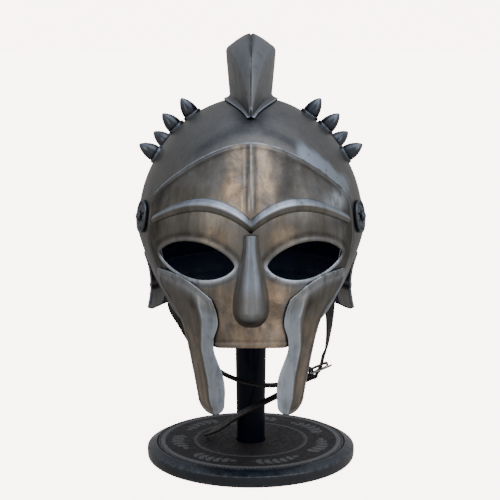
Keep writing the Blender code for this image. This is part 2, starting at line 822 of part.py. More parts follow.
def make_buckle_strap(leather, frame):
    """The strap from the left temple, under the chin, folded round the buckle's heel bar."""
    fold = BUCKLE_WIRE + STRAP_SEAT + STRAP_THICKNESS / 2
    back = [-KEEPER_BACK * share for share in (1.43, 1.0, 0.57)]
    places = [(along, -STRAP_PLY) for along in back] + [(-KEEPER_BACK * 0.25, -fold * 0.92)]
    for i in range(7):
        angle = math.radians(-90 + 30 * i)
        places.append((fold * math.cos(angle), fold * math.sin(angle)))
    places += [(-KEEPER_BACK * 0.25, fold * 0.92), (-KEEPER_BACK * 0.57, STRAP_PLY)]
    places += [(-KEEPER_BACK * 1.36, STRAP_PLY)]
    rows = anchor_rows(-1) + hanging_rows(BUCKLE_STRAP_TABLE, -1) + in_buckle(places, frame)
    strap = ribbon("buckle_strap", curve_points(rows, 2), leather)
    cut(strap, pin_cutter("buckle_strap_hole", -1))
    slot = bpy.data.meshes.new("prong_slot")
    bm = bmesh.new()
    bmesh.ops.create_cube(bm, size=1.0)
    room = BUCKLE_WIRE + SEAT_GAP + 2 * PRONG_WIRE
    bmesh.ops.scale(bm, vec=(3 * room, 2 * (PRONG_WIRE + PRONG_SLOT_GAP), 4 * room), verts=bm.verts)
    bm.to_mesh(slot)
    bm.free()
    cutter = add_object("prong_slot_cutter", slot, None, 0)
    cutter.matrix_world = frame @ Matrix.Translation((0.05 * room, 0, 0))
    return cut(strap, cutter)


def make_hole_strap(leather, frame):
    """The strap from the right temple, through the buckle and its keeper to the free end."""
    under = BUCKLE_WIRE + SEAT_GAP + STRAP_SEAT + 1.5 * STRAP_THICKNESS + PLY_GAP
    turn = under + BUCKLE_LENGTH * 0.067
    inside = ((0.989, 0.489), (0.733, 0.144), (0.522, -0.089))
    places = [(BUCKLE_LENGTH * along, BUCKLE_LENGTH * up) for along, up in inside]
    places += [(turn * 0.94, -turn * 0.42), (turn * 0.55, -turn * 0.86), (0.0, -under)]
    places += [(-KEEPER_BACK * 0.6, -under), (-KEEPER_BACK, -under), (-KEEPER_BACK * 1.5, -under)]
    rows = anchor_rows(1) + hanging_rows(HOLE_STRAP_TABLE, 1) + in_buckle(places, frame)
    start = Vector(rows[-1][:3])
    rest = BASE_HEIGHT + INLAY_PROUD + 2 * SEAT_GAP + STRAP_THICKNESS / 2
    end = Vector((*TAIL_END, rest))
    for shares in TAIL_TABLE:
        point = [a + (b - a) * share for a, b, share in zip(start, end, shares)]
        rows.append([*point, 0.0, 1.0, 0.15])
    rows.append([*end, 0.55, 0.83, 0.0])
    strap = ribbon("hole_strap", curve_points(rows, 2), leather)
    cut(strap, pin_cutter("hole_strap_hole", 1))
    prong_up = -(BUCKLE_WIRE + SEAT_GAP + PRONG_WIRE)
    start, end = (frame @ Vector((BUCKLE_LENGTH * share, 0, prong_up)) for share in (0.167, 0.75))
    return cut(strap, rod_cutter("prong_hole", start, end, PRONG_WIRE + PRONG_HOLE_GAP))


def wire(name, points, radius, cyclic, look, frame):
    """A round wire along points in the buckle's own axes."""
    curve = bpy.data.curves.new(name, "CURVE")
    curve.dimensions = "3D"
    curve.bevel_depth = radius
    curve.bevel_resolution = 1
    curve.use_fill_caps = True
    spline = curve.splines.new("POLY")
    spline.points.add(len(points) - 1)
    for spot, point in zip(spline.points, points):
        spot.co = (*point, 1.0)
    spline.use_cyclic_u = cyclic
    curve.materials.append(look)
    obj = bpy.data.objects.new(name, curve)
    bpy.context.scene.collection.objects.link(obj)
    obj.matrix_world = frame
    return obj


def rounded_rectangle(low, high, half, corner, steps):
    """A loop in two axes: the first from low to high, the second from -half to half."""
    points = []
    middles = (
        (high - corner, half - corner, 0),
        (low + corner, half - corner, 90),
        (low + corner, corner - half, 180),
        (high - corner, corner - half, 270),
    )
    for u, v, start in middles:
        for i in range(steps + 1):
            angle = math.radians(start + 90 * i / steps)
            points.append((u + corner * math.cos(angle), v + corner * math.sin(angle)))
    return points


def make_buckle(nickel, frame):
    """Frame, prong and keeper, each a bent wire."""
    half = STRAP_WIDTH / 2 + BUCKLE_WIRE + BUCKLE_SIDE_GAP
    loop = rounded_rectangle(0.0, BUCKLE_LENGTH, half, BUCKLE_CORNER, 3)
    wire("buckle_frame", [(u, v, 0.0) for u, v in loop], BUCKLE_WIRE, True, nickel, frame)
    hook = BUCKLE_WIRE + SEAT_GAP + PRONG_WIRE
    points = []
    for i in range(7):
        angle = math.radians(80 + 190 * i / 6)
        points.append((hook * math.cos(angle), 0.0, hook * math.sin(angle)))
    points += [(BUCKLE_LENGTH * share, 0.0, -hook) for share in (0.333, 0.667, 1.0)]
    points += [(BUCKLE_LENGTH + PRONG_TIP, 0.0, -hook + PRONG_TIP * 0.09)]
    wire("buckle_prong", points, PRONG_WIRE, False, nickel, frame)
    under = BUCKLE_WIRE + SEAT_GAP + STRAP_SEAT + 2 * STRAP_THICKNESS + PLY_GAP
    low = -(under + SEAT_GAP + KEEPER_WIRE)
    high = STRAP_PLY + STRAP_THICKNESS / 2 + SEAT_GAP + KEEPER_WIRE
    side = STRAP_WIDTH / 2 + SEAT_GAP + KEEPER_WIRE
    loop = rounded_rectangle(low, high, side, KEEPER_CORNER, 2)
    points = [(-KEEPER_BACK, v, w) for w, v in loop]
    wire("strap_keeper", points, KEEPER_WIRE, True, nickel, frame)


def make_stand(wood, hide):
    """Turned base, leather inlay, tapered post and the block that carries the bowl."""
    recess = BASE_HEIGHT + INLAY_PROUD - INLAY_THICKNESS - SEAT_GAP
    socket = POST_FOOT_RADIUS + SEAT_GAP
    socket_z = BASE_HEIGHT - POST_SOCKET_DEPTH
    rim = BASE_RADIUS - BASE_BEVEL - BASE_LIP
    inlay = rim - INLAY_GAP
    profile = [
        (0.0, 0.0),
        (BASE_RADIUS - BASE_FOOT_ROUND, 0.0),
        (BASE_RADIUS - BASE_FOOT_ROUND * 0.23, BASE_FOOT_ROUND * 0.51),
        (BASE_RADIUS, BASE_FOOT_ROUND * 1.29),
        (BASE_RADIUS, BASE_EDGE_Z),
        (BASE_RADIUS - BASE_BEVEL, BASE_HEIGHT - BASE_ARRIS),
        (BASE_RADIUS - BASE_BEVEL - BASE_ARRIS, BASE_HEIGHT),
        (rim, BASE_HEIGHT),
        (rim, recess),
        (socket, recess),
        (socket, socket_z),
        (0.0, socket_z),
    ]
    add_object("stand_base", turned_mesh("stand_base", profile, 44), wood)
    foot, top = recess + SEAT_GAP, BASE_HEIGHT + INLAY_PROUD
    inner = socket + SEAT_GAP
    profile = [(inner, foot), (inlay, foot), (inlay, top), (inner, top), (inner, foot)]
    add_object("stand_inlay", turned_mesh("stand_inlay", profile, 44), hide)
    crown_z = WIDEST_Z + CROWN_RISE - BOWL_WALL - HEAD_BLOCK_GAP
    block_z = crown_z - HEAD_BLOCK_HEIGHT
    post_top = block_z + HEAD_BLOCK_HEIGHT * 0.45
    profile = [
        (0.0, socket_z + SEAT_GAP),
        (POST_FOOT_RADIUS, socket_z + SEAT_GAP),
        (POST_TOP_RADIUS, block_z - SEAT_GAP - HEAD_BLOCK_NECK),
        (POST_TOP_RADIUS * 0.8, block_z - SEAT_GAP - HEAD_BLOCK_NECK),
        (POST_TOP_RADIUS * 0.8, post_top),
        (0.0, post_top),
    ]
    add_object("stand_post", turned_mesh("stand_post", profile, 20), wood)
    bore = POST_TOP_RADIUS * 0.8 + SEAT_GAP
    profile = [
        (bore, block_z - HEAD_BLOCK_NECK),
        (HEAD_BLOCK_RADIUS * 0.5, block_z - HEAD_BLOCK_NECK),
        (HEAD_BLOCK_RADIUS * 0.5, block_z - HEAD_BLOCK_STEP * 0.67),
        (HEAD_BLOCK_RADIUS, block_z + HEAD_BLOCK_STEP),
    ]
    lean = math.asin(HEAD_BLOCK_RADIUS / HEAD_BLOCK_DOME)
    for i in range(5):
        angle = lean * (1 - i / 4)
        z = crown_z - HEAD_BLOCK_DOME * (1 - math.cos(angle))
        profile.append((HEAD_BLOCK_DOME * math.sin(angle), z))
    profile += [(0.0, post_top + SEAT_GAP), (bore, post_top + SEAT_GAP), (bore, block_z - HEAD_BLOCK_NECK)]
    add_object("stand_head", turned_mesh("stand_head", profile, 20), wood)


def build():
    clear_scene()
    steel = material("dark_steel", (0.105, 0.108, 0.112), 0.38, 1.0)
    bronze = material("aged_bronze_steel", (0.235, 0.205, 0.170), 0.36, 1.0)
    nickel = material("nickel", (0.52, 0.52, 0.50), 0.25, 1.0)
    leather = material("black_leather", (0.018, 0.016, 0.016), 0.50, 0.0)
    hide = material("embossed_hide", (0.020, 0.018, 0.020), 0.62, 0.0)
    wood = material("lacquered_wood", (0.012, 0.014, 0.020), 0.28, 0.0)
    make_bowl(steel)
    make_neck_guard(steel)
    make_crest(steel)
    make_face_plate(bronze)
    make_brow_band(bronze)
    make_nose_guard(bronze)
    make_cheek_guard("cheek_guard_left", -1, bronze)
    make_cheek_guard("cheek_guard_right", 1, bronze)
    place_bosses(steel)
    for side, sign in (("left", -1), ("right", 1)):
        make_rosette("rosette_" + side, sign, steel)
        make_temple_pin("temple_pin_" + side, sign, steel)
    frame = buckle_frame()
    make_buckle_strap(leather, frame)
    make_hole_strap(leather, frame)
    make_buckle(nickel, frame)
    make_stand(wood, hide)


build()
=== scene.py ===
import bmesh
import bpy
import numpy as np
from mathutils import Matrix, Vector


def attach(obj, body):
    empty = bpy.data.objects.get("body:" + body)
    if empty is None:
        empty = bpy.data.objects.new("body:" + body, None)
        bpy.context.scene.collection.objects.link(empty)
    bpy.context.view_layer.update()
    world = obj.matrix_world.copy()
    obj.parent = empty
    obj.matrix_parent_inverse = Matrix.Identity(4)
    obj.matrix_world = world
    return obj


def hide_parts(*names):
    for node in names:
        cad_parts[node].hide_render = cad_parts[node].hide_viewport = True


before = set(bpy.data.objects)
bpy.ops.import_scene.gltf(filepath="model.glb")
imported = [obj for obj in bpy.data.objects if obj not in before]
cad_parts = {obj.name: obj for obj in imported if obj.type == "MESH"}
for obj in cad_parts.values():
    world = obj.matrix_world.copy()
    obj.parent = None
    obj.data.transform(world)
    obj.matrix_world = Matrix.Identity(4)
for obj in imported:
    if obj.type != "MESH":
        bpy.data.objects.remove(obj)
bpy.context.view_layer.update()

# the head form that every plate follows
form = dict(
    halfWidth=0.1075, halfLength=0.126, centreY=-0.003, widestZ=0.227, crownRise=0.124,
    jawDrop=0.153, sideTaper=0.47, frontTaper=0.08, backTaper=0.30,
)
gap = dict(seat=0.0004, plate=0.0011, face=0.0018, wall=0.0015)
plateLift = gap["face"] + gap["wall"]
cheekLift = plateLift + gap["plate"] + gap["wall"]
neckLift = gap["plate"] + gap["wall"]


def unit(vectors):
    return vectors / np.maximum(np.linalg.norm(vectors, axis=-1, keepdims=True), 1e-12)


def ease(low, high, value):  # 0 below low, 1 above high, and 3t2 - 2t3 between
    t = np.clip((np.asarray(value, float) - low) / (high - low), 0, 1)
    return t * t * (3 - 2 * t)


def bump(distance, centre, width):  # a bell of height 1 at centre
    return np.exp(-(((distance - centre) / width) ** 2))


def tableAt(table, share):  # columns of a table as smooth curves: cubic Hermite through its rows
    table = np.asarray(table, float)
    keys = table[:, 0]
    share = np.asarray(share, float)
    i = np.clip(np.searchsorted(keys, share, side="right") - 1, 0, len(keys) - 2)
    step = keys[i + 1] - keys[i]
    t = (share - keys[i]) / step
    columns = []
    for values in table.T[1:]:
        slopes = np.gradient(values, keys)
        columns.append(
            (2 * t**3 - 3 * t**2 + 1) * values[i]
            + (t**3 - 2 * t**2 + t) * step * slopes[i]
            + (3 * t**2 - 2 * t**3) * values[i + 1]
            + (t**3 - t**2) * step * slopes[i + 1]
        )
    return columns


def through(rows, steps):  # Catmull-Rom through rows of numbers, with equal steps in each span
    rows = np.asarray(rows, float)
    ends = [2 * rows[:1] - rows[1:2], rows, 2 * rows[-1:] - rows[-2:-1]]
    p = np.concatenate(ends)
    t = (np.arange(steps) / steps)[None, :, None]
    a, b, c, d = (p[k : len(p) - 3 + k][:, None] for k in range(4))
    curve = b * 2 + (c - a) * t + (2 * a - 5 * b + 4 * c - d) * t**2 + (3 * b - a - 3 * c + d) * t**3
    return np.concatenate([(0.5 * curve).reshape(-1, rows.shape[1]), rows[-1:]])


def levelOf(z):  # 0 at the crown, 1 at the widest, and more below it at the same pace
    z = np.asarray(z, float)
    quarter = np.pi / 2
    above = np.arccos(np.clip((z - form["widestZ"]) / form["crownRise"], 0, 1)) / quarter
    return np.where(z >= form["widestZ"], above, 1 + (form["widestZ"] - z) / (form["crownRise"] * quarter))


def formShares(level):  # a quarter ellipse down to the widest, then a slow pinch to the jaw
    quarter = np.pi / 2
    above = np.minimum(level, 1) * quarter
    drop = np.maximum(level - 1, 0) * form["crownRise"] * quarter
    pinch = np.sin((drop / form["jawDrop"]) ** 1.3 * quarter)
    z = form["widestZ"] + form["crownRise"] * np.cos(above) - drop
    taper = [1 - form[k] * pinch for k in ("sideTaper", "frontTaper", "backTaper")]
    return z, [np.sin(above) * share for share in taper]


def formSurface(azimuth, level):  # x = W sin(azimuth), y = -L cos(azimuth), each times its share
    z, (side, front, back) = formShares(level)
    along = np.where(np.cos(azimuth) > 0, front, back)
    x = form["halfWidth"] * side * np.sin(azimuth)
    y = form["centreY"] - form["halfLength"] * along * np.cos(azimuth)
    return np.stack(np.broadcast_arrays(x, y, z), -1)


def formNormal(azimuth, level):  # cross product of small steps down and across
    step = 1e-4
    level = np.maximum(level, 2e-3)
    across = formSurface(azimuth + step, level) - formSurface(azimuth - step, level)
    down = formSurface(azimuth, level + step) - formSurface(azimuth, level - step)
    return unit(np.cross(down, across))


def onForm(azimuth, z, lift=0.0):
    azimuth, z, lift = np.broadcast_arrays(*(np.asarray(v, float) for v in (azimuth, z, lift)))
    level = levelOf(z)
    return formSurface(azimuth, level) + formNormal(azimuth, level) * lift[..., None]


def normalAt(azimuth, z):
    azimuth, z = np.broadcast_arrays(np.asarray(azimuth, float), np.asarray(z, float))
    return formNormal(azimuth, levelOf(z))


def azimuthAt(x, z):
    side = formShares(levelOf(z))[1][0]
    return np.arcsin(np.clip(x / (form["halfWidth"] * side), -1, 1))


def crownNormal(back, x):
    narrow = np.sqrt(1 - (x / form["halfWidth"]) ** 2)
    y = np.sin(back) * narrow / form["halfLength"]
    z = np.cos(back) * narrow / form["crownRise"]
    return unit(np.stack(np.broadcast_arrays(x / form["halfWidth"] ** 2, y, z), -1))


def crownPoint(back, x, lift=0.0):  # the upper half of the form, by its angle back and its x
    narrow = np.sqrt(1 - (x / form["halfWidth"]) ** 2)
    y = form["centreY"] + form["halfLength"] * np.sin(back) * narrow
    z = form["widestZ"] + form["crownRise"] * np.cos(back) * narrow
    base = np.stack(np.broadcast_arrays(x, y, z), -1)
    return base + crownNormal(back, x) * np.broadcast_to(lift, base.shape[:-1])[..., None]


def waves(points, scale, seed):  # a smooth random swell between about -1 and 1: a sum of sine waves
    spread = np.random.default_rng(seed)
    total = 0
    for k in range(7):
        direction = spread.normal(size=3)
        phase = spread.uniform(0, 6.28)
        total = total + np.sin(points @ direction * 6.28 / scale + phase)
    return total / 4


# meshes

def gridFaces(rows, columns, around=False):  # quads of a grid, anticlockwise with rows down, columns across
    r = np.arange(rows - 1)[:, None]
    c = np.arange(columns if around else columns - 1)[None, :]
    n = (c + 1) % columns
    quads = [r * columns + c, (r + 1) * columns + c, (r + 1) * columns + n, r * columns + n]
    return np.stack(np.broadcast_arrays(*quads), -1).reshape(-1, 4)


# A mesh from arrays. Its values are float attributes between 0 and 1 that the materials read.
def makePiece(name, points, faces, looks, nodes, values=None, faceLooks=None):
    mesh = bpy.data.meshes.new(name)
    mesh.from_pydata(np.asarray(points, float).tolist(), [], faces.tolist())
    for key, value in (values or {}).items():
        layer = mesh.attributes.new(key, "FLOAT", "POINT")
        layer.data.foreach_set("value", np.clip(value, 0, 1).astype(np.float32).ravel())
    if faceLooks is not None:
        mesh.polygons.foreach_set("material_index", np.asarray(faceLooks, np.int32))
    bm = bmesh.new()
    bm.from_mesh(mesh)
    bmesh.ops.remove_doubles(bm, verts=bm.verts, dist=2e-7)
    bmesh.ops.dissolve_degenerate(bm, dist=1e-8, edges=bm.edges)
    bm.to_mesh(mesh)
    bm.free()
    mesh.shade_smooth()
    piece = bpy.data.objects.new(name, mesh)
    bpy.context.scene.collection.objects.link(piece)
    for look in looks:
        mesh.materials.append(look)
    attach(piece, "root")
    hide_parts(*nodes)
    return piece


def rimOf(faces, count):  # the edges that only one face has, in that face's direction
    a, b = faces.ravel(), np.roll(faces, -1, 1).ravel()
    keep = (a != b) & ~np.isin(a * count + b, b * count + a)
    return a[keep], b[keep]


def nearRim(points, targets):  # the distance from each point to the nearest of the targets
    best = np.full(len(points), 1e9)
    for block in np.array_split(targets, max(1, len(targets) // 60)):
        spans = np.linalg.norm(points[:, None] - block[None], axis=-1)
        best = np.minimum(best, spans.min(1))
    return best


def facesOut(points, faces, outward):  # turned so that on the whole they face along outward
    a, b, c = (points[faces[:, k]] for k in (0, 1, 2))
    along = (np.cross(b - a, c - b) * outward[faces[:, 0]]).sum()
    return faces if along > 0 else faces[:, ::-1]


def mergeGrid(points, faces):  # joins points that coincide, so that a seam has no rim
    keys = np.round(points / 1e-6).astype(np.int64)
    _, first, back = np.unique(keys, axis=0, return_index=True, return_inverse=True)
    faces = back.reshape(-1)[faces]
    return first, faces


# A sheet of metal: an outer and an inner side, joined round every free edge by a half circle.
# A rim point is middle + half wall * (cos a * normal + sin a * outward), with a from 0 to pi.
# The second look, a near-black painted shade, is the inside's where the inside flag says so, and the rim's
# where the rim flag does.
def sheetPiece(name, outer, inner, faces, looks, nodes, values, rounds=4, shadedInside=True, shadedRim=None):
    count = len(outer)
    a, b = rimOf(faces, count)
    normal = unit(outer - inner)
    away = unit(np.cross(outer[b] - outer[a], normal[a] + normal[b]))
    total = np.zeros_like(outer)
    np.add.at(total, a, away)
    np.add.at(total, b, away)
    rim, place = np.unique(np.concatenate([a, b]), return_inverse=True)
    a, b = np.split(place.reshape(-1), 2)
    outward = unit(total[rim])
    middle, half = (outer[rim] + inner[rim]) / 2, (outer[rim] - inner[rim]) / 2
    reach = np.linalg.norm(half, axis=1, keepdims=True)
    angles = np.pi * np.arange(1, rounds + 1) / (rounds + 1)
    rings = [middle + half * np.cos(t) + outward * reach * np.sin(t) for t in angles]
    points = np.concatenate([outer, inner, *rings])
    ids = [rim] + [2 * count + k * len(rim) + np.arange(len(rim)) for k in range(rounds)] + [rim + count]
    strips = [np.stack([p[b], p[a], q[a], q[b]], -1) for p, q in zip(ids, ids[1:])]
    allFaces = np.concatenate([faces, faces[:, ::-1] + count, *strips])
    dull = np.zeros(len(a)) if shadedRim is None else shadedRim[rim[a]]
    marks = np.concatenate([np.zeros(len(faces)), np.ones(len(faces)) * shadedInside, np.tile(dull, len(strips))])
    spread = {}
    for key, value in values.items():
        inside = value * 0 if key == "wearAndSheen" else value
        spread[key] = np.concatenate([value, inside] + [value[rim]] * rounds)
    return makePiece(name, points, allFaces, looks, nodes, spread, marks)


# A turned shape: each (radius, height) of the profile goes round the axis at equal angles.
def turnedPiece(name, profile, steps, looks, nodes, values=None, axis=None, point=None):
    profile = np.asarray(profile, float)
    turn = 2 * np.pi * np.arange(steps) / steps
    radius, height = profile[:, 0][:, None], profile[:, 1][:, None]
    shape = np.stack(np.broadcast_arrays(radius * np.cos(turn), radius * np.sin(turn), height), -1)
    if axis is not None:
        up = unit(np.asarray(axis, float))
        side = unit(np.cross([0.0, 0.0, 1.0], up))
        shape = np.asarray(point) + shape @ np.stack([side, np.cross(up, side), up])
    faces = gridFaces(len(profile), steps, around=True)[:, ::-1]
    spread = {k: np.repeat(v, steps) for k, v in (values or {}).items()}
    return makePiece(name, shape.reshape(-1, 3), faces, looks, nodes, spread)


# A profile with rounded corners: (radius, height, rounding) rows, each corner a quadratic curve.
def roundedProfile(corners, steps=5):
    rows = []
    corners = [np.asarray(c, float) for c in corners]
    for k, corner in enumerate(corners):
        here, size = corner[:2], corner[2]
        if size == 0 or k in (0, len(corners) - 1):
            rows.append(here[None])
            continue
        before = here + unit(corners[k - 1][:2] - here) * size
        after = here + unit(corners[k + 1][:2] - here) * size
        t = np.linspace(0, 1, steps + 1)[:, None]
        rows.append((1 - t) ** 2 * before + 2 * t * (1 - t) * here + t**2 * after)
    return np.concatenate(rows)


# materials

# A procedural material on Object coordinates. Each helper adds a node and returns its output.
class Look:

    def __init__(self, name, metallic=0.0, **fixed):
        self.material = bpy.data.materials.new(name)
        self.material.use_nodes = True
        tree = self.material.node_tree
        self.nodes, self.links = tree.nodes, tree.links
        self.shader = self.nodes["Principled BSDF"]
        self.shader.inputs["Metallic"].default_value = metallic
        for key, value in fixed.items():
            self.shader.inputs[key.replace("_", " ")].default_value = value
        self.place = self.nodes.new("ShaderNodeTexCoord").outputs["Object"]

    def put(self, socket, value):
        if isinstance(value, bpy.types.NodeSocket):
            self.links.new(value, socket)
        elif isinstance(value, tuple) and len(value) == 3 and socket.type == "RGBA":
            socket.default_value = (*value, 1)
        else:
            socket.default_value = value

    def stretch(self, scale):
        node = self.nodes.new("ShaderNodeMapping")
        node.inputs["Scale"].default_value = scale
        self.links.new(self.place, node.inputs["Vector"])
        return node.outputs["Vector"]

    def noise(self, scale, detail=3.0, rough=0.5, stretch=None, warp=0.0):
        node = self.nodes.new("ShaderNodeTexNoise")
        self.links.new(self.stretch(stretch) if stretch else self.place, node.inputs["Vector"])
        node.inputs["Scale"].default_value = scale
        node.inputs["Detail"].default_value = detail
        node.inputs["Roughness"].default_value = rough
        node.inputs["Distortion"].default_value = warp
        return node.outputs["Fac"]

    def cells(self, scale):
        node = self.nodes.new("ShaderNodeTexVoronoi")
        self.links.new(self.place, node.inputs["Vector"])
        node.inputs["Scale"].default_value = scale
        return node.outputs["Distance"]

    def value(self, name):
        node = self.nodes.new("ShaderNodeAttribute")
        node.attribute_name = name
        return node.outputs["Fac"]

    def remap(self, source, low, high, outLow=0.0, outHigh=1.0):
        node = self.nodes.new("ShaderNodeMapRange")
        node.interpolation_type = "SMOOTHSTEP"
        for key, number in zip(("From Min", "From Max", "To Min", "To Max"), (low, high, outLow, outHigh)):
            node.inputs[key].default_value = number
        self.links.new(source, node.inputs["Value"])
        return node.outputs["Result"]

    def math(self, kind, a, b):
        node = self.nodes.new("ShaderNodeMath")
        node.operation = kind
        self.put(node.inputs[0], a)
        self.put(node.inputs[1], b)
        return node.outputs["Value"]

    def times(self, a, b):
        return self.math("MULTIPLY", a, b)

    def grain(self, low, high, *noise, **more):  # noise, eased from 0 at low to 1 at high
        return self.remap(self.noise(*noise, **more), low, high)

    def broken(self, name, low, high, least, *noise, **more):  # an attribute, broken up by noise
        return self.times(self.value(name), self.remap(self.noise(*noise, **more), low, high, least, 1.0))

    def mix(self, share, a, b):
        node = self.nodes.new("ShaderNodeMix")
        node.data_type = "RGBA"
        self.put(node.inputs["Factor"], share)
        self.put(node.inputs["A"], a)
        self.put(node.inputs["B"], b)
        return node.outputs["Result"]

    def relief(self, height, distance, strength=1.0, below=None):
        node = self.nodes.new("ShaderNodeBump")
        node.inputs["Distance"].default_value = distance
        node.inputs["Strength"].default_value = strength
        self.links.new(height, node.inputs["Height"])
        if below is not None:
            self.links.new(below, node.inputs["Normal"])
        return node.outputs["Normal"]

    def finish(self, colour, roughness, normal=None):
        self.put(self.shader.inputs["Base Color"], colour)
        self.put(self.shader.inputs["Roughness"], roughness)
        if normal is not None:
            self.links.new(normal, self.shader.inputs["Normal"])
        return self.material


# Satin steel: clouds, soft soot, painted shade where the attribute marks it, rubbed spots with painted
# reflections, and a fine upright grain.
def plateSteelLook(name, steel):
    look = Look(name, metallic=1.0)
    colour = look.mix(look.grain(0.34, 0.70, 14, 4, 0.6, warp=0.4), steel["base"], steel["cloud"])
    hair = look.grain(0.36, 0.70, 260, 4, 0.6, stretch=(1, 1, 0.06))
    colour = look.mix(look.times(hair, 0.16), colour, steel["sootAndShade"])
    smoke = look.grain(0.50, 0.80, 27, 5, 0.65, stretch=(1, 1, 0.6))
    colour = look.mix(look.times(smoke, 0.30), colour, steel["sootAndShade"])
    # painted shade, with some soot: the attribute marks hollows, joins and shaded sides
    dirtAndShade = look.broken("grimeAndShade", 0.25, 0.6, 0.55, 85, 4, 0.6)
    colour = look.mix(look.times(dirtAndShade, 0.9), colour, steel["sootAndShade"])
    # rubbed edges, and painted reflections where the attribute marks them
    colour = look.mix(look.broken("wearAndSheen", 0.24, 0.48, 0.0, 110, 5, 0.7), colour, steel["rub"])
    rough = look.remap(look.noise(60, 4, 0.65), 0.35, 0.7, *steel["rough"])
    low = look.relief(look.noise(55, 2, 0.5), 0.0004, 0.10)
    fine = look.relief(look.noise(420, 3, 0.6, stretch=(1, 1, 0.05)), 0.00004, 0.35, low)
    return look.finish(colour, rough, fine)


# Brushed plate: brown and cool patches, painted bluish sheen, gold patina, painted shade in the hollows,
# bright rubbed rims with painted highlights.
def wornSteelLook(steel):
    look = Look("wornSteel", metallic=1.0)
    patch = look.grain(0.38, 0.66, 26, 4, 0.6, stretch=(1, 1, 0.7), warp=0.3)
    streak = look.grain(0.36, 0.70, 120, 4, 0.6, stretch=(1, 1, 0.08))
    glint = look.grain(0.52, 0.72, 190, 3, 0.6, stretch=(1, 1, 0.05))
    freckle = look.grain(0.58, 0.72, 800, 3, 0.7)
    mottle = look.grain(0.36, 0.64, 44, 6, 0.66, stretch=(1, 1, 0.8), warp=0.5)
    colour = look.mix(patch, steel["base"], steel["cool"])
    # painted highlight: a bluish sheen where the attribute marks faces that catch the sky
    colour = look.mix(look.broken("paintedSheen", 0.24, 0.56, 0.55, 60, 5, 0.65), colour, steel["paintedSheen"])
    tint = look.broken("patina", 0.24, 0.56, 0.35, 52, 4, 0.6)
    colour = look.mix(tint, colour, look.mix(mottle, steel["brown"], steel["gold"]))
    fewer = look.math("SUBTRACT", 0.40, look.times(tint, 0.28))
    colour = look.mix(look.times(streak, fewer), colour, steel["dark"])
    # painted glints in the sheen colour
    colour = look.mix(look.times(glint, 0.22), colour, steel["paintedSheen"])
    speckled = look.math("ADD", 0.26, look.times(tint, 0.30))
    colour = look.mix(look.times(freckle, speckled), colour, steel["dark"])
    # painted shade, with some soot, where the attribute marks hollows and shaded sides
    grimeAndShade = look.broken("grimeAndShade", 0.2, 0.6, 0.5, 70, 4, 0.6)
    colour = look.mix(look.times(grimeAndShade, 0.88), colour, steel["dark"])
    # rubbed rims, and painted highlights where the attribute marks them
    rubbed = look.broken("wearAndSheen", 0.30, 0.56, 0.0, 95, 5, 0.7, stretch=(1, 1, 0.5))
    colour = look.mix(rubbed, colour, steel["rub"])
    rough = look.remap(look.noise(90, 4, 0.65, stretch=(1, 1, 0.25)), 0.35, 0.7, *steel["rough"])
    rough = look.math("ADD", rough, look.times(grimeAndShade, 0.12))
    low = look.relief(look.noise(70, 2, 0.5), 0.0005, 0.12)
    brush = look.relief(look.noise(700, 2, 0.6, stretch=(1, 1, 0.03)), 0.00005, 0.7, low)
    pits = look.relief(look.grain(0.30, 0.42, 520, 3, 0.6), 0.00010, 0.45, brush)
    return look.finish(colour, rough, pits)


def insideShadeLook(inside):  # the inside of the plates: near-black blue, painted shade
    look = Look("paintedShadeInside", metallic=0.0, Specular_IOR_Level=0.2)
    colour = look.mix(look.grain(0.35, 0.7, 40, 4, 0.6), inside["dark"], inside["light"])
    rough = look.remap(look.noise(90, 3), 0.3, 0.7, *inside["rough"])
    return look.finish(colour, rough, look.relief(look.noise(600, 3), 0.0001, 0.5))


def nickelLook(wire):
    look = Look("nickelWire", metallic=1.0)
    colour = look.mix(look.grain(0.4, 0.7, 260, 4, 0.6), wire["bright"], wire["dull"])
    rough = look.remap(look.noise(500, 3), 0.3, 0.7, *wire["rough"])
    return look.finish(colour, rough, look.relief(look.noise(1500, 3), 0.00003, 0.4))


def leatherLook(hide):  # black strap leather: fine grain, creases and browner rubbed edges
    look = Look("blackLeather", metallic=0.0, Specular_IOR_Level=0.30)
    colour = look.mix(look.grain(0.35, 0.7, 180, 4), hide["dark"], hide["light"])
    worn = look.broken("wearAndSheen", 0.3, 0.6, 0.0, 300, 4, 0.7)
    colour = look.mix(look.times(worn, 0.5), colour, hide["rub"])
    # painted shade: near-black in the punched holes
    colour = look.mix(look.value("grimeAndShade"), colour, hide["hole"])
    pores = look.relief(look.cells(1500), 0.00012, 0.6)
    crease = look.relief(look.noise(420, 4, 0.6), 0.00012, 0.4, pores)
    return look.finish(colour, look.remap(look.noise(240, 4), 0.3, 0.7, *hide["rough"]), crease)


def hideLook(hide):  # the base's disc: what is pressed into it is greyer
    look = Look("embossedHide", metallic=0.0, Specular_IOR_Level=0.35)
    colour = look.mix(look.grain(0.35, 0.68, 46, 4, 0.6), hide["dark"], hide["light"])
    colour = look.mix(look.times(look.grain(0.60, 0.74, 700, 3, 0.7), 0.25), colour, hide["dust"])
    colour = look.mix(look.broken("emboss", 0.25, 0.55, 0.55, 520, 4, 0.7), colour, hide["press"])
    pores = look.relief(look.cells(1300), 0.00015, 0.55)
    return look.finish(colour, look.remap(look.noise(300, 4), 0.3, 0.7, *hide["rough"]), pores)


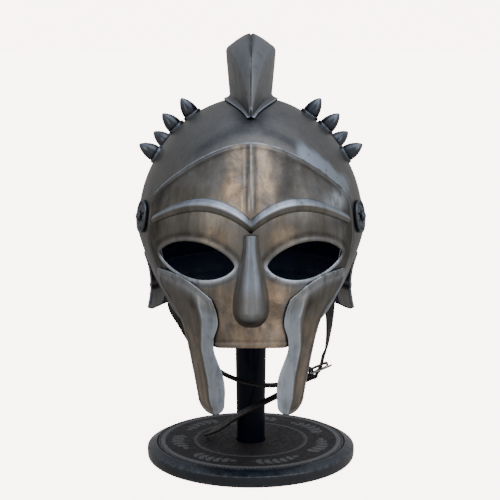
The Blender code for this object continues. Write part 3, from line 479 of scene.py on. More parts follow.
def lacquerLook(name, coat):  # turned wood under lacquer, rubbed grey on its rims
    look = Look(name, metallic=0.0, Coat_Weight=coat["weight"], Coat_Roughness=0.22,
                Specular_IOR_Level=coat["gloss"])
    colour = look.mix(look.grain(0.35, 0.7, 22, 3), coat["dark"], coat["light"])
    rub = look.broken("wearAndSheen", 0.42, 0.62, 0.0, 210, 5, 0.7)
    colour = look.mix(look.times(rub, 0.6), colour, coat["rub"])
    rough = look.remap(look.noise(130, 4, 0.6), 0.35, 0.7, *coat["rough"])
    peel = look.relief(look.noise(160, 2, 0.5), 0.00006, 0.15)
    grain = look.relief(look.noise(600, 3, 0.6, stretch=(1, 1, 0.06)), 0.00003, 0.2, peel)
    return look.finish(colour, rough, grain)


darkSteel = plateSteelLook("darkSteel", dict(
    base=(0.164, 0.161, 0.157), cloud=(0.196, 0.191, 0.185), sootAndShade=(0.040, 0.044, 0.055),
    rub=(0.46, 0.54, 0.66), rough=(0.38, 0.48)))
bluedSteel = plateSteelLook("bluedSteel", dict(
    base=(0.060, 0.068, 0.084), cloud=(0.090, 0.098, 0.112), sootAndShade=(0.014, 0.017, 0.026),
    rub=(0.22, 0.25, 0.29), rough=(0.22, 0.34)))
wornSteel = wornSteelLook(dict(
    base=(0.205, 0.190, 0.165), cool=(0.240, 0.236, 0.226), paintedSheen=(0.315, 0.365, 0.445),
    gold=(0.84, 0.600, 0.390),
    brown=(0.25, 0.185, 0.135), dark=(0.050, 0.044, 0.040), rub=(0.60, 0.66, 0.74), rough=(0.30, 0.46)))
paintedInsideShade = insideShadeLook(dict(dark=(0.0014, 0.0070, 0.0300), light=(0.0030, 0.0110, 0.0430), rough=(0.55, 0.75)))
nickel = nickelLook(dict(bright=(0.42, 0.42, 0.41), dull=(0.26, 0.26, 0.25), rough=(0.14, 0.28)))
leather = leatherLook(dict(
    dark=(0.007, 0.007, 0.008), light=(0.015, 0.014, 0.013), rub=(0.050, 0.040, 0.032),
    hole=(0.002, 0.002, 0.002), rough=(0.36, 0.58)))
hide = hideLook(dict(
    dark=(0.0105, 0.0090, 0.0100), light=(0.0200, 0.0160, 0.0170), dust=(0.060, 0.056, 0.056),
    press=(0.125, 0.128, 0.134), rough=(0.55, 0.78)))
lacquer = dict(rub=(0.075, 0.085, 0.098), rough=(0.28, 0.44))
baseLacquer = lacquerLook("baseLacquer", dict(
    lacquer, dark=(0.0035, 0.0065, 0.0130), light=(0.0080, 0.0125, 0.0215), gloss=0.34, weight=0.26))
# a darker, less glossy copy of the base's lacquer: painted shade on the post and the block inside the bowl
shadedPostLacquer = lacquerLook("shadedPostLacquer", dict(
    lacquer, dark=(0.0006, 0.0020, 0.0080), light=(0.0014, 0.0040, 0.0140), gloss=0.08, weight=0.05))
print("materials ready")

# face plate: each half is a ring of sheet round its eye opening, and the halves meet at the nose
face = dict(topZ=0.312, templeZ=0.262, jawZ=0.172, chinZ=0.1358, chinArch=0.0018, azimuth=57,
            chinAzimuth=22, across=40, lip=0.0010, bead=0.0003, ridge=0.0010)
eye = dict(x=0.046, z=0.2135, halfWidth=0.033, halfHeight=0.0170, tilt=0.0030)


def faceTopZ(azimuth):
    arch = np.cos(np.clip(azimuth / np.radians(face["azimuth"]), -1, 1) * np.pi / 2) ** 0.85
    return face["templeZ"] + (face["topZ"] - face["templeZ"]) * arch


# skull bowl: rows of constant share from the crown down to an edge that steps up over the face
bowl = dict(rows=92, columns=272, evenTo=0.79, browZ=0.258, rimZ=0.186, flankZ=0.152, faceCut=51, blend=2,
            flankBack=86, bead=0.0009, beadInset=0.0052, dent=0.00022)


# Level grows evenly down to evenTo, and from there to low, the edge's level at each azimuth.
def makeBowl():
    fine = np.linspace(-np.pi, np.pi, 4001)
    crowd = 1 + 5 * bump(np.abs(fine), np.radians(bowl["faceCut"]),
                         np.radians(3.0))  # columns gather at the cut
    crowd = np.concatenate([[0], np.cumsum((crowd[1:] + crowd[:-1]) / 2)])
    turn = np.interp(np.arange(bowl["columns"]) / bowl["columns"] * crowd[-1], crowd, fine)
    away = np.abs(turn)  # 0 at the face
    rise = ease(np.radians(bowl["faceCut"] + 2 * bowl["blend"]), np.radians(bowl["flankBack"]), away)
    side = levelOf(bowl["flankZ"] + (bowl["rimZ"] - bowl["flankZ"]) * rise)
    brow = levelOf(bowl["browZ"])
    step = ease(np.radians(bowl["faceCut"] - bowl["blend"]), np.radians(bowl["faceCut"] + bowl["blend"]),
                away)
    low = brow + (side - brow) * step
    upper = np.linspace(0, bowl["evenTo"], bowl["rows"] // 2, endpoint=False)[:, None] + 0 * turn
    share = np.linspace(0, 1, bowl["rows"] - bowl["rows"] // 2)[:, None]
    share = share + 0.30 * np.sin(np.pi * share) * share / np.pi  # rows gather at the edge
    level = np.maximum(np.concatenate([upper, bowl["evenTo"] + (low - bowl["evenTo"]) * share]), 2e-4)
    azimuth = np.broadcast_to(turn, level.shape)
    base, normal = formSurface(azimuth, level), formNormal(azimuth, level)
    normal[0] = (0, 0, 1)
    base, normal = base.reshape(-1, 3), normal.reshape(-1, 3)
    faces = gridFaces(*level.shape, around=True)
    rim, _ = rimOf(faces[bowl["columns"]:], len(base))
    edge = nearRim(base, base[rim])
    dents = waves(base, 0.055, 4) * bowl["dent"] * ease(0.004, 0.02, edge)
    bead = bowl["bead"] * bump(edge, bowl["beadInset"], 0.0012)
    outer = base + normal * (dents + bead * 0.6 - 0.0001)[:, None]
    inner = outer - normal * gap["wall"]
    wearAndSheen = 0.35 * bump(edge, 0.0, 0.0010) * ease(0.0, -0.03, base[:, 1])  # the rim shines at the front alone
    # painted shade in the groove inside the bead and along the cut edge
    grimeAndShade = 0.35 * bump(edge, bowl["beadInset"] + 0.0024, 0.0016) + 0.25 * bump(edge, 0.0018, 0.0012)
    turn = azimuth.ravel()
    x, y, z = base.T
    over = z - faceTopZ(np.clip(turn, -1, 1))  # above the face plate's edge
    front = ease(0.02, -0.02, y)
    # painted shade on the bowl just above the face plate's edge
    grimeAndShade += 0.75 * bump(over, 0.013, 0.006) * ease(0.075, 0.045, np.abs(x - 0.008)) * front
    grimeAndShade += 0.90 * bump(x, 0.003, 0.016) * bump(z, 0.334, 0.007) * front  # painted shadow under the crest's tip
    fromFlank = np.abs(np.abs(turn) - np.radians(bowl["faceCut"] + 6))
    # painted shade on the flanks beside the face plate
    grimeAndShade += 0.25 * ease(0.088, 0.05, fromFlank + 0.04) * ease(0.25, 0.235, z)
    # a painted reflection: a bright bluish patch above the face plate's right corner
    swirl = waves(base, 0.022, 8) * 0.0022
    patch = ease(0.0235, 0.0150, over + swirl) * ease(0.038, 0.047, x + swirl) * ease(0.092, 0.083, x + swirl)
    wearAndSheen += 0.62 * patch * front
    values = dict(wearAndSheen=wearAndSheen, grimeAndShade=grimeAndShade * (1 - patch))
    # the cut edge behind the front gets the near-black painted shade
    sheetPiece("skullShell", outer, inner, faces, [darkSteel, paintedInsideShade], ["skull_bowl"], values,
               shadedRim=y > -0.02)


makeBowl()
print("bowl ready")

# Half the edge as azimuth and height: top, side, jaw, chin, and the middle line back up.
def faceOutline():
    wide, chin = np.radians(face["azimuth"]), np.radians(face["chinAzimuth"])
    t = lambda count: np.arange(count) / count
    top, side, jaw, flat, middle = t(70), t(62), t(40), t(18), t(96)
    top = 1 - (1 - top) ** 1.25
    azimuths = [wide * top, wide + 0 * side, wide + (chin - wide) * jaw, chin * (1 - flat), 0 * middle]
    drop, low = np.sin(jaw * np.pi / 2), face["chinZ"] + face["chinArch"]
    heights = [
        faceTopZ(wide * top),
        face["templeZ"] + (face["jawZ"] - face["templeZ"]) * side,
        face["jawZ"] + (face["chinZ"] - face["jawZ"]) * drop,
        face["chinZ"] + face["chinArch"] * (1 - (1 - flat) ** 2),
        low + (face["topZ"] - low) * middle,
    ]
    return np.concatenate(azimuths), np.concatenate(heights)


def makeFacePlate():
    azimuth, z = faceOutline()
    angle = np.arctan2(z - eye["z"], azimuth * form["halfWidth"] - eye["x"])
    rise = np.sin(angle)
    eyeX = eye["x"] + eye["halfWidth"] * np.cos(angle)
    eyeZ = eye["z"] + eye["halfHeight"] * rise * np.abs(rise) ** 0.3 + eye["tilt"] * np.cos(angle)
    eyeAzimuth = azimuthAt(eyeX, eyeZ)
    share = np.linspace(0, 1, face["across"])[:, None]
    share = share - 0.30 * np.sin(2 * np.pi * share) / (2 * np.pi)  # rows gather at both edges
    turn, height = eyeAzimuth + (azimuth - eyeAzimuth) * share, eyeZ + (z - eyeZ) * share
    turn = np.concatenate([turn, -turn])
    height = np.concatenate([height, height])
    rows, columns = share.shape[0], len(azimuth)
    faces = gridFaces(rows, columns, around=True)
    faces = np.concatenate([faces[:, ::-1], faces + rows * columns])
    base = onForm(turn, height, 0.0).reshape(-1, 3)
    first, faces = mergeGrid(base, faces)
    turn, height, base = turn.ravel()[first], height.ravel()[first], base[first]
    normal = normalAt(turn, height)
    rim, _ = rimOf(faces, len(base))
    eyeRim = rim[(np.abs(height[rim] - eye["z"]) < 0.021) & (np.abs(turn[rim]) < np.radians(54)) &
                 (np.abs(turn[rim]) > np.radians(3))]
    outerRim = np.setdiff1d(rim, eyeRim)
    toEye, toEdge = nearRim(base, base[eyeRim]), nearRim(base, base[outerRim])
    x = base[:, 0]
    low = ease(0.0, 0.0035, toEdge)
    lip = face["lip"] * bump(toEye, 0.0012, 0.0019)
    bead = face["bead"] * bump(toEdge, 0.0030, 0.0011)
    chase = -0.00022 * (bump(toEdge, 0.0058, 0.0006) + bump(toEye, 0.0062, 0.0007))
    above = ease(0.250, 0.262, height) * low
    ridge = face["ridge"] * above * (bump(x, 0.0, 0.0018) + 0.45 * bump(np.abs(x), 0.0062, 0.0012))
    cheekbone = 0.0012 * bump(height, 0.186, 0.010) * bump(np.abs(x), 0.046, 0.024)
    swell = waves(base, 0.05, 9) * 0.00018 * low
    lift = plateLift + lip + bead + chase + ridge + cheekbone * low + swell
    outer = base + normal * lift[:, None]
    inner = base + normal * (lift - gap["wall"])[:, None]
    lower = ease(eye["z"] + 0.004, eye["z"] - 0.006, height)
    # eye rims: lighter below, rub and painted highlight
    wearAndSheen = bump(toEye, 0.0010, 0.0018) * (0.12 + 0.88 * lower) + 0.16 * bump(toEdge, 0.0030, 0.0010)
    wearAndSheen += 0.30 * bump(np.abs(x), 0.0130, 0.0060) * bump(height, 0.258, 0.010) * low
    wearAndSheen += 0.75 * bump(toEdge, 0.0, 0.0009) * ease(0.262, 0.270, height)
    wearAndSheen += 0.35 * above * bump(x, 0.0, 0.0008)
    # a painted reflection on the plate's upper right corner
    corner = bump(height, 0.2615, 0.0075) * bump(x, 0.073, 0.008)
    wearAndSheen += 0.85 * corner
    # painted shade: under the upper eye rims, beside the nose, between the forehead ridges, on the turning
    # sides, under the brow, on the upper plate and more on its right, and along the top
    grimeAndShade = 0.70 * bump(toEye, 0.0050, 0.0022) * (1 - 0.7 * lower) + 0.35 * bump(toEdge, 0.0058, 0.0014)
    grimeAndShade += 0.28 * bump(np.abs(x), 0.0175, 0.0035) * ease(0.232, 0.20, height) * ease(0.145, 0.16, height)
    grimeAndShade += above * 0.75 * bump(np.abs(x), 0.0034, 0.0013)
    grimeAndShade += 0.85 * ease(np.radians(44), np.radians(51), np.abs(turn)) * (1 - corner)
    grimeAndShade += 0.40 * bump(height, 0.238, 0.008) * ease(0.012, 0.03, np.abs(x))
    grimeAndShade += 0.42 * ease(0.010, 0.034, np.abs(x)) * ease(0.252, 0.268, height) * (1 - corner)
    grimeAndShade += 0.22 * bump(toEdge, 0.0, 0.010) * ease(0.25, 0.27, height) + 0.26 * ease(0.280, 0.308, height)
    grimeAndShade += 0.50 * bump(x, 0.028, 0.011) * ease(0.258, 0.272, height)
    grimeAndShade += 0.38 * ease(0.012, 0.03, x) * bump(height, 0.246, 0.009)
    # darker near the chin edge, left of the middle and at the middle
    grimeAndShade += 0.40 * bump(x, -0.024, 0.008) * ease(0.158, 0.145, height)
    grimeAndShade += 0.30 * bump(x, 0.0, 0.007) * ease(0.155, 0.145, height)
    fading = ease(0.246, 0.254, height) * (1 - 0.6 * ease(0.272, 0.296, height))
    patina = bump(np.abs(x), 0.0120, 0.0090) * fading
    patina *= np.where(x < 0, 1.5, 1.05)
    nearMouth = ease(0.044, 0.016, np.abs(x)) * ease(0.206, 0.182, height)
    patina += nearMouth * (0.62 + 0.55 * bump(x, 0.020, 0.010))
    wearAndSheen += 0.16 * bump(x, 0.020, 0.009) * bump(height, 0.153, 0.009)
    patina += 0.55 * bump(np.abs(x), 0.027, 0.012) * bump(height, 0.236, 0.010)
    # painted highlight: bluish sheen on the lower eye rims and on the corner's reflection
    paintedSheen = 0.60 * lower * ease(0.009, 0.003, toEye) + 0.5 * corner
    values = dict(wearAndSheen=wearAndSheen, grimeAndShade=grimeAndShade, patina=patina, paintedSheen=paintedSheen)
    sheetPiece("faceMask", outer, inner, faces, [wornSteel, paintedInsideShade], ["face_plate"], values)


makeFacePlate()
print("face plate ready")

# brow band: a crowned strip along two arches that meet over the nose
brow = dict(rootZ=0.2435, rise=0.0175, azimuth=53, width=0.0120, height=0.0042, seat=0.0007, stations=150)


# Height across the strip = 0.62 (1 - |s|^3.2) + 0.38 of a bell just below its middle, s from -1 to 1.
def makeBrowBand():
    t = np.linspace(-1, 1, brow["stations"])
    azimuth = np.radians(brow["azimuth"]) * t
    middle = brow["rootZ"] + brow["rise"] * np.sin(np.pi * np.abs(t) ** 0.8)
    taper = 0.45 + 0.55 * np.sin(np.pi * (t + 1) / 2) ** 0.5
    s = np.sin(np.linspace(-1, 1, 27) * np.pi / 2)
    body = 0.62 * (1 - np.abs(s) ** 3.2) + 0.38 * bump(s, -0.10, 0.34)
    across = np.concatenate([s, s[-2:0:-1]])
    rise = np.concatenate([body * (1 - np.abs(s) ** 14), 0 * s[-2:0:-1]])
    z = middle[:, None] + brow["width"] / 2 * taper[:, None] * across
    lift = plateLift + brow["seat"] + brow["height"] * taper[:, None] * rise * 0.98
    points = onForm(azimuth[:, None], z, lift)
    ends = points.mean(1)
    points[0], points[-1] = ends[0], ends[-1]
    faces = gridFaces(*z.shape, around=True)
    s2 = np.broadcast_to(across, z.shape)
    up = np.broadcast_to(rise > 0.02, z.shape)
    root = bump(np.abs(azimuth), 0, 0.05)[:, None]
    # painted highlight: the upper half is lighter and bluish; painted shade at the root and along both edges
    wearAndSheen = (0.42 * bump(s2, 0.10, 0.22) + 0.25 * bump(s2, 0.85, 0.10)) * up
    grimeAndShade = 0.8 * root * up + 0.6 * bump(np.abs(s2), 0.97, 0.10)
    paintedSheen = 0.80 * ease(-0.35, 0.15, s2) * up
    values = dict(wearAndSheen=(wearAndSheen - 0.5 * root).ravel(), grimeAndShade=grimeAndShade.ravel(), paintedSheen=paintedSheen.ravel())
    makePiece("browBand", points.reshape(-1, 3), faces, [wornSteel], ["brow_band"], values)


makeBrowBand()

# nose guard: a hollow ridge that swells to the nostrils and closes under them
nose = dict(topZ=0.2365, footZ=0.1570, topHalf=0.0062, half=0.0145, topRidge=0.0055, ridge=0.0165,
            seat=0.0012, rows=96, columns=45)


# Rise across = ridge * (1 - |s|^1.9), and the ridge and half width follow their own curves down.
def makeNoseGuard():
    t = np.linspace(0, 1, nose["rows"])[:, None]
    s = np.linspace(-1, 1, nose["columns"])[None, :]
    s = np.sign(s) * np.abs(s) ** 0.9
    z = nose["topZ"] + (nose["footZ"] - nose["topZ"]) * t
    width = nose["topHalf"] + (nose["half"] - nose["topHalf"]) * ease(0, 0.78, t)
    half = width * (0.12 + 0.88 * np.sqrt(np.clip(1 - np.maximum(0, (t - 0.80) / 0.205) ** 2, 0, 1)))
    growing = nose["topRidge"] + (nose["ridge"] - nose["topRidge"]) * (t / 0.8) ** 1.3
    ridge = np.where(t < 0.8, growing, nose["ridge"] * (1 - ((t - 0.8) / 0.205) ** 2))
    rise = ridge * (1 - np.abs(s) ** 1.9) + 0.0004 * bump(np.abs(s), 0.84, 0.07) * ease(0, 0.04, t)
    z = z + 0 * s
    azimuth = azimuthAt(half * s, z)
    base = onForm(azimuth, z, 0.0).reshape(-1, 3)
    normal = normalAt(azimuth, z).reshape(-1, 3)
    lift = (plateLift + nose["seat"] + rise).reshape(-1, 1)
    outer, inner = base + normal * lift, base + normal * (lift - gap["wall"] * 0.8)
    faces = gridFaces(*z.shape)
    s2, t2 = np.broadcast_to(s, rise.shape).ravel(), np.broadcast_to(t, rise.shape).ravel()
    wearAndSheen = 0.16 * bump(s2, 0, 0.16) + 0.25 * bump(np.abs(s2), 0.90, 0.05)
    # painted shade along the sides and under the foot
    grimeAndShade = 0.25 * bump(np.abs(s2), 0.78, 0.12) + 0.9 * ease(0.84, 0.93, t2)
    # painted highlight: bluish sheen on the front, fading towards the foot
    paintedSheen = 0.85 * ease(0.62, 0.48, np.abs(s2)) * (1 - 0.8 * ease(0.48, 0.68, t2))
    values = dict(wearAndSheen=wearAndSheen * ease(0.93, 0.8, t2), grimeAndShade=grimeAndShade, paintedSheen=paintedSheen)
    sheetPiece("noseGuard", outer, inner, faces, [wornSteel, paintedInsideShade], ["nose_guard"], values)


makeNoseGuard()

# cheek guards: shares down the drop, with inner and outer edge as shares of the form's half width
cheek = dict(innerTopZ=0.180, outerTopZ=0.202, footZ=0.071, footRound=0.012, ridge=0.0036, bead=0.0002,
             foldTop=0.25, fold=0.36, rows=120, columns=52,
             table=((0.00, 0.300, 0.742), (0.12, 0.262, 0.722), (0.24, 0.250, 0.640), (0.36, 0.276, 0.552),
                    (0.48, 0.278, 0.508), (0.60, 0.244, 0.480), (0.72, 0.206, 0.456), (0.86, 0.188, 0.428),
                    (1.00, 0.192, 0.400)))


def cheekPlace(drop, across):  # azimuth and height of a point of the right guard
    inner, outer = tableAt(cheek["table"], drop)
    x = (inner + (outer - inner) * across) * form["halfWidth"]
    lean = cheek["outerTopZ"] - cheek["innerTopZ"]
    top = cheek["innerTopZ"] + lean * (across + 0.28 * np.sin(np.pi * across))
    off = np.abs(2 * across - 1)
    foot = cheek["footZ"] + cheek["footRound"] * (1 - np.sqrt(np.clip(1 - off**2, 0, 1)))
    z = top + (foot - top) * drop
    return azimuthAt(x, z), z


def makeCheekGuard(name, node, sign):
    drop = np.linspace(0, 1, cheek["rows"])[:, None]
    across = 0.5 - 0.5 * np.cos(np.linspace(0, np.pi, cheek["columns"]))[None, :]
    drop, across = np.broadcast_arrays(drop, across)
    azimuth, z = cheekPlace(drop, across)
    base = onForm(azimuth, z, 0.0).reshape(-1, 3)
    normal = normalAt(azimuth, z).reshape(-1, 3)
    faces = gridFaces(*drop.shape)[:, ::-1]
    rim, _ = rimOf(faces, len(base))
    edge = nearRim(base, base[rim])
    a, d = across.ravel(), drop.ravel()
    line = cheek["foldTop"] + (cheek["fold"] - cheek["foldTop"]) * ease(0.30, 0.85, d)
    fold = np.clip(1 - np.abs(a - line) / np.where(a < line, line, 1 - line), 0, 1)
    ridge = cheek["ridge"] * (np.sqrt(fold**2 + 0.006) - 0.077) * ease(0.02, 0.14, d) * ease(1.0, 0.86, d)
    lift = cheekLift + ridge + cheek["bead"] * bump(edge, 0.0026, 0.0010)
    lift = lift + waves(base, 0.03, 5) * 0.00012
    outer, inner = base + normal * lift[:, None], base + normal * (lift - gap["wall"])[:, None]
    crease = bump(a, line, 0.020) * ease(0.06, 0.16, d)
    wearAndSheen = 0.25 * bump(edge, 0.0022, 0.0009) + 0.5 * bump(edge, 0, 0.0008) + 0.95 * crease
    wearAndSheen += 0.35 * bump(d, 0.045, 0.03) * ease(0.1, 0.3, a)
    wearAndSheen += 0.42 * ease(0.01, -0.04, a - line) * ease(0.10, 0.22, d)  # painted highlight: the inner face is painted bright
    # painted highlight: bluish sheen on the inner face, and a little at the top
    paintedSheen = 1.0 * ease(0.02, -0.03, a - line) * ease(0.06, 0.2, d) + 0.2 * ease(0.16, 0.03, d)
    # painted shade along the outer edge, beside the fold, near the top and at the outer side; the right
    # guard's outer face is darker
    grimeAndShade = 0.35 * bump(edge, 0.0052, 0.0013) * ease(0.44, 0.56, a)
    grimeAndShade += 0.35 * bump(a - line, 0.10, 0.05) * (1 - crease)
    grimeAndShade += 0.45 * bump(a, 0.40, 0.10) * bump(d, 0.16, 0.05) + 0.35 * ease(0.72, 0.95, a)
    grimeAndShade += (0.36 if sign > 0 else 0.16) * ease(0.05, 0.14, a - line)
    patina = 0.42 * ease(0.04, 0.16, a - line) * ease(0.15, 0.4, d)
    values = dict(wearAndSheen=wearAndSheen, grimeAndShade=grimeAndShade, patina=patina, paintedSheen=paintedSheen)
    if sign < 0:
        outer, inner, faces = outer * [-1, 1, 1], inner * [-1, 1, 1], faces[:, ::-1]
    sheetPiece(name, outer, inner, faces, [wornSteel, paintedInsideShade], [node], values)


makeCheekGuard("cheekGuardLeft", "cheek_guard_left", -1)
makeCheekGuard("cheekGuardRight", "cheek_guard_right", 1)
print("brow, nose and cheeks ready")

# neck guard: a collar that flares with the square of the way down
neck = dict(topZ=0.203, footZ=0.150, azimuth=90, sideFlare=0.019, backFlare=0.026, cornerRise=0.007,
            bead=0.0008, shadedInside=0.36, rows=40, columns=220)


# Lift = seat + (side + (back - side) sin(s)^1.2) * down^2.2, from ear to ear.
def makeNeckGuard():
    down = np.linspace(0, 1, neck["rows"])[:, None]
    share = np.linspace(0, 1, neck["columns"])[None, :]
    azimuth = np.radians(neck["azimuth"] + (360 - 2 * neck["azimuth"]) * share) + 0 * down
    rounded = neck["cornerRise"] * (1 - np.sin(np.pi * share)) ** 6
    z = neck["topZ"] + (neck["footZ"] + rounded - neck["topZ"]) * down
    bulge = np.sin(np.pi * share) ** 1.2
    flare = (neck["sideFlare"] + (neck["backFlare"] - neck["sideFlare"]) * bulge) * down**2.2
    grid = onForm(azimuth, z, neckLift + flare)
    normal = unit(np.cross(np.gradient(grid, axis=0), np.gradient(grid, axis=1))).reshape(-1, 3)
    base = grid.reshape(-1, 3)
    faces = gridFaces(*azimuth.shape)[:, ::-1]
    outward = np.sign(((base - [0, form["centreY"], 0.2]) * normal).sum(1).mean())
    normal = normal * outward
    rim, _ = rimOf(faces, len(base))
    edge = nearRim(base, base[rim])
    d = np.broadcast_to(down, azimuth.shape).ravel()
    lift = neck["bead"] * bump(edge, 0.0022, 0.0012) - 0.0003 * bump(edge, 0.0052, 0.0008)
    lift = lift + 0.0006 * bump(d, 0.62, 0.035) - 0.0003 * bump(d, 0.70, 0.03)
    lift = lift + waves(base, 0.04, 3) * 0.00012
    outer, inner = base + normal * lift[:, None], base + normal * (lift - gap["wall"])[:, None]
    wearAndSheen = 0.45 * bump(edge, 0.0022, 0.0010) + 0.4 * bump(edge, 0, 0.0010) + 0.2 * bump(d, 0.62, 0.022)
    # painted shade in the grooves inside the rim and under the step
    grimeAndShade = 0.6 * bump(edge, 0.0052, 0.0014) + 0.5 * bump(d, 0.70, 0.03)
    grimeAndShade += 0.8 * ease(-0.06, -0.085, base[:, 0]) * ease(0.08, 0.045, base[:, 1])  # painted shade on the left front
    values = dict(wearAndSheen=wearAndSheen, grimeAndShade=grimeAndShade)
    fromBack = np.abs((share + 0 * down).ravel() - 0.5)
    shadedInside = fromBack[faces[:, 0]] < neck["shadedInside"]  # bare steel at the front corners
    sheetPiece("neckCollar", outer, inner, faces, [darkSteel, paintedInsideShade], ["neck_guard"], values,
               shadedInside=shadedInside)


makeNeckGuard()

# crest: rows from the forehead to the nape, each a flange, a flaring side, a shoulder and half a roof
crest = dict(height=0.0565, halfWidth=0.0200, flange=0.0045, tip=0.0020, spread=0.13, wall=0.0012, gap=0.0009,
             front=-31, back=76, rows=170, columns=46, flangeColumns=7,
             table=((0, 0.16, 0.06), (0.05, 0.54, 0.25), (0.11, 0.79, 0.52), (0.18, 0.92, 0.82),
                    (0.26, 0.99, 0.98),
                    (0.36, 1, 1), (0.50, 0.94, 1), (0.65, 0.79, 0.92), (0.79, 0.58, 0.74), (0.91, 0.33, 0.46),
                    (1, 0.10, 0.10)),
             section=((0.00, 1.00, 0.000), (0.04, 1.005, 0.040), (0.20, 1.045, 0.220), (0.42, 1.115, 0.450),
                      (0.60, 1.155, 0.640), (0.68, 1.163, 0.725), (0.735, 1.10, 0.775), (0.80, 0.88, 0.835),
                      (0.86, 0.64, 0.900), (0.915, 0.38, 0.955), (0.945, 0.22, 0.985), (0.965, 0.11, 0.998),
                      (0.980, 0.050, 0.998), (0.991, 0.020, 0.984), (1.00, 0.00, 0.978)))


# A point is middle + up * height share + x * width share, and the flange lies on the bowl.
def makeCrest():
    t = np.linspace(0, 1, crest["rows"])
    t = t - 0.3 * np.sin(2 * np.pi * t) / (2 * np.pi)  # rows gather at both ends
    back = np.radians(crest["front"] + (crest["back"] - crest["front"]) * t)
    height, width = tableAt(crest["table"], t)
    height, half = crest["height"] * height, crest["halfWidth"] * width
    seat = crest["gap"] + crest["wall"]
    middle, up = crownPoint(back, 0 * back), crownNormal(back, 0 * back)
    p = np.linspace(0, 1, crest["columns"])
    wide, tall = tableAt(crest["section"], p)
    flangeShare = np.linspace(1, 0.06, crest["flangeColumns"])
    footLift = seat + 0.0010 * (1 - flangeShare) ** 3
    spread = crest["tip"] + (crest["flange"] - crest["tip"]) * ease(0, crest["spread"], t)
    flangeX = half[:, None] + spread[:, None] * flangeShare
    flangePoints = crownPoint(back[:, None], flangeX, footLift[None, :])
    side = middle[:, None] + up[:, None] * (seat + height[:, None] * tall)[..., None]
    side[..., 0] = half[:, None] * wide
    right = np.concatenate([flangePoints, side], 1)
    left = right[:, -2::-1] * [-1, 1, 1]
    points = np.concatenate([right, left], 1)
    rows, columns = points.shape[:2]
    normal = unit(np.cross(np.gradient(points, axis=0), np.gradient(points, axis=1)))
    core = middle[:, None] + up[:, None] * (height[:, None, None] * 0.3)
    normal = normal * np.sign(((points - core) * normal).sum(-1).mean())
    outer = points.reshape(-1, 3)
    inner = (points - normal * crest["wall"]).reshape(-1, 3)
    faces = facesOut(outer, gridFaces(rows, columns), normal.reshape(-1, 3))
    flange = -np.ones(crest["flangeColumns"])
    q = np.concatenate([flange, p, p[-2::-1], flange])  # the section's own share, -1 on the flange
    q = np.broadcast_to(q, (rows, columns)).ravel()
    rim, _ = rimOf(faces, len(outer))
    edge = nearRim(outer, outer[rim])
    right = outer[:, 0] > 0
    # lighter on the shoulder and roof, rub and painted highlight; painted lighter all over the right side
    wearAndSheen = 0.09 + 0.04 * right + 0.06 * ease(0.72, 0.80, q) + 0.12 * bump(q, 0.70, 0.018)
    wearAndSheen = wearAndSheen * ease(0.960, 0.945, q) * ease(-0.5, 0.05, q) + 0.75 * bump(edge, 0.0003, 0.0005)
    # painted shade in the roof's groove, at the foot of the sides and inside the rim
    grimeAndShade = 1.0 * ease(0.950, 0.966, q) + 0.55 * bump(q, 0.0, 0.05) + 0.35 * bump(edge, 0.0040, 0.0015)
    values = dict(wearAndSheen=wearAndSheen, grimeAndShade=grimeAndShade)
    sheetPiece("crestFin", outer, inner, faces, [darkSteel, paintedInsideShade], ["crest"], values)


makeCrest()
print("crest and neck ready")

# studs, each turned about the normal of the bowl
boss = dict(sideways=(0.51, 0.65, 0.82, 0.74, 0.66), back=(-2, -1, -9, 22, 50))
bossProfile = roundedProfile([
    (0, -0.0010, 0), (0.0092, -0.0010, 0.0002), (0.0092, 0.0011, 0.0005), (0.0087, 0.0017, 0.0003),
    (0.0077, 0.0019, 0.0002), (0.0074, 0.0024, 0.0002), (0.0077, 0.0030, 0.0004), (0.0073, 0.0066, 0.0014),
    (0.0062, 0.0106, 0.0020), (0.0040, 0.0150, 0.0018), (0.0016, 0.0181, 0.0009), (0.0, 0.0190, 0)], 6)


def placeTurned(name, node, profile, steps, point, normal, look):  # lighter at its top and collar, rub and painted highlight, and darker towards its foot, painted shade
    top = profile[:, 1].max()
    out = profile[:, 1] / top
    edge = np.where(profile[:, 0] > profile[:, 0].max() * 0.93, 1.0, 0.0)
    values = dict(wearAndSheen=0.55 * ease(0.5, 1.0, out) + 0.35 * edge,
                  grimeAndShade=0.7 * ease(0.30, 0.12, out) * (1 - edge))
    turnedPiece(name, profile, steps, [look], [node], values, normal, point)


for side, sign in (("left", -1), ("right", 1)):
    for k in range(5):
        x, angle = sign * boss["sideways"][k] * form["halfWidth"], np.radians(boss["back"][k])
        placeTurned(f"boss{side.title()}{k + 1}", f"boss_{side}_{k + 1}", bossProfile, 40,
                    crownPoint(angle, x, gap["seat"]), crownNormal(angle, x), bluedSteel)

# rosettes: petals raised on a disc that follows the bowl, held by a domed pin
rosette = dict(radius=0.0152, thickness=0.0028, azimuth=68.5, z=0.243, petals=8, seat=0.0008, rings=46,
               around=144,
               flat=((0, 0.85), (0.16, 0.80), (0.22, 0.35), (0.30, 0.40), (0.55, 0.22), (0.76, 0.18),
                     (0.82, 0.35), (0.88, 0.95), (0.95, 0.95), (0.99, 0.55), (1.00, 0.0)),
               petal=((0, 0), (0.22, 0), (0.30, 0.25), (0.45, 0.70), (0.60, 0.80), (0.72, 0.50),
                      (0.79, 0.0), (1, 0)))
pin = dict(head=0.0046, headHeight=0.0034, radius=0.0019, tail=0.0012, anchor=0.0024)
strap = dict(width=0.0110, thickness=0.0022, y=-0.043, seat=0.0006, corner=0.00075, crown=0.00008,
             holes=(0.040, 0.058, 0.076, 0.094), freeEnd=(-0.0440, 0.0060))


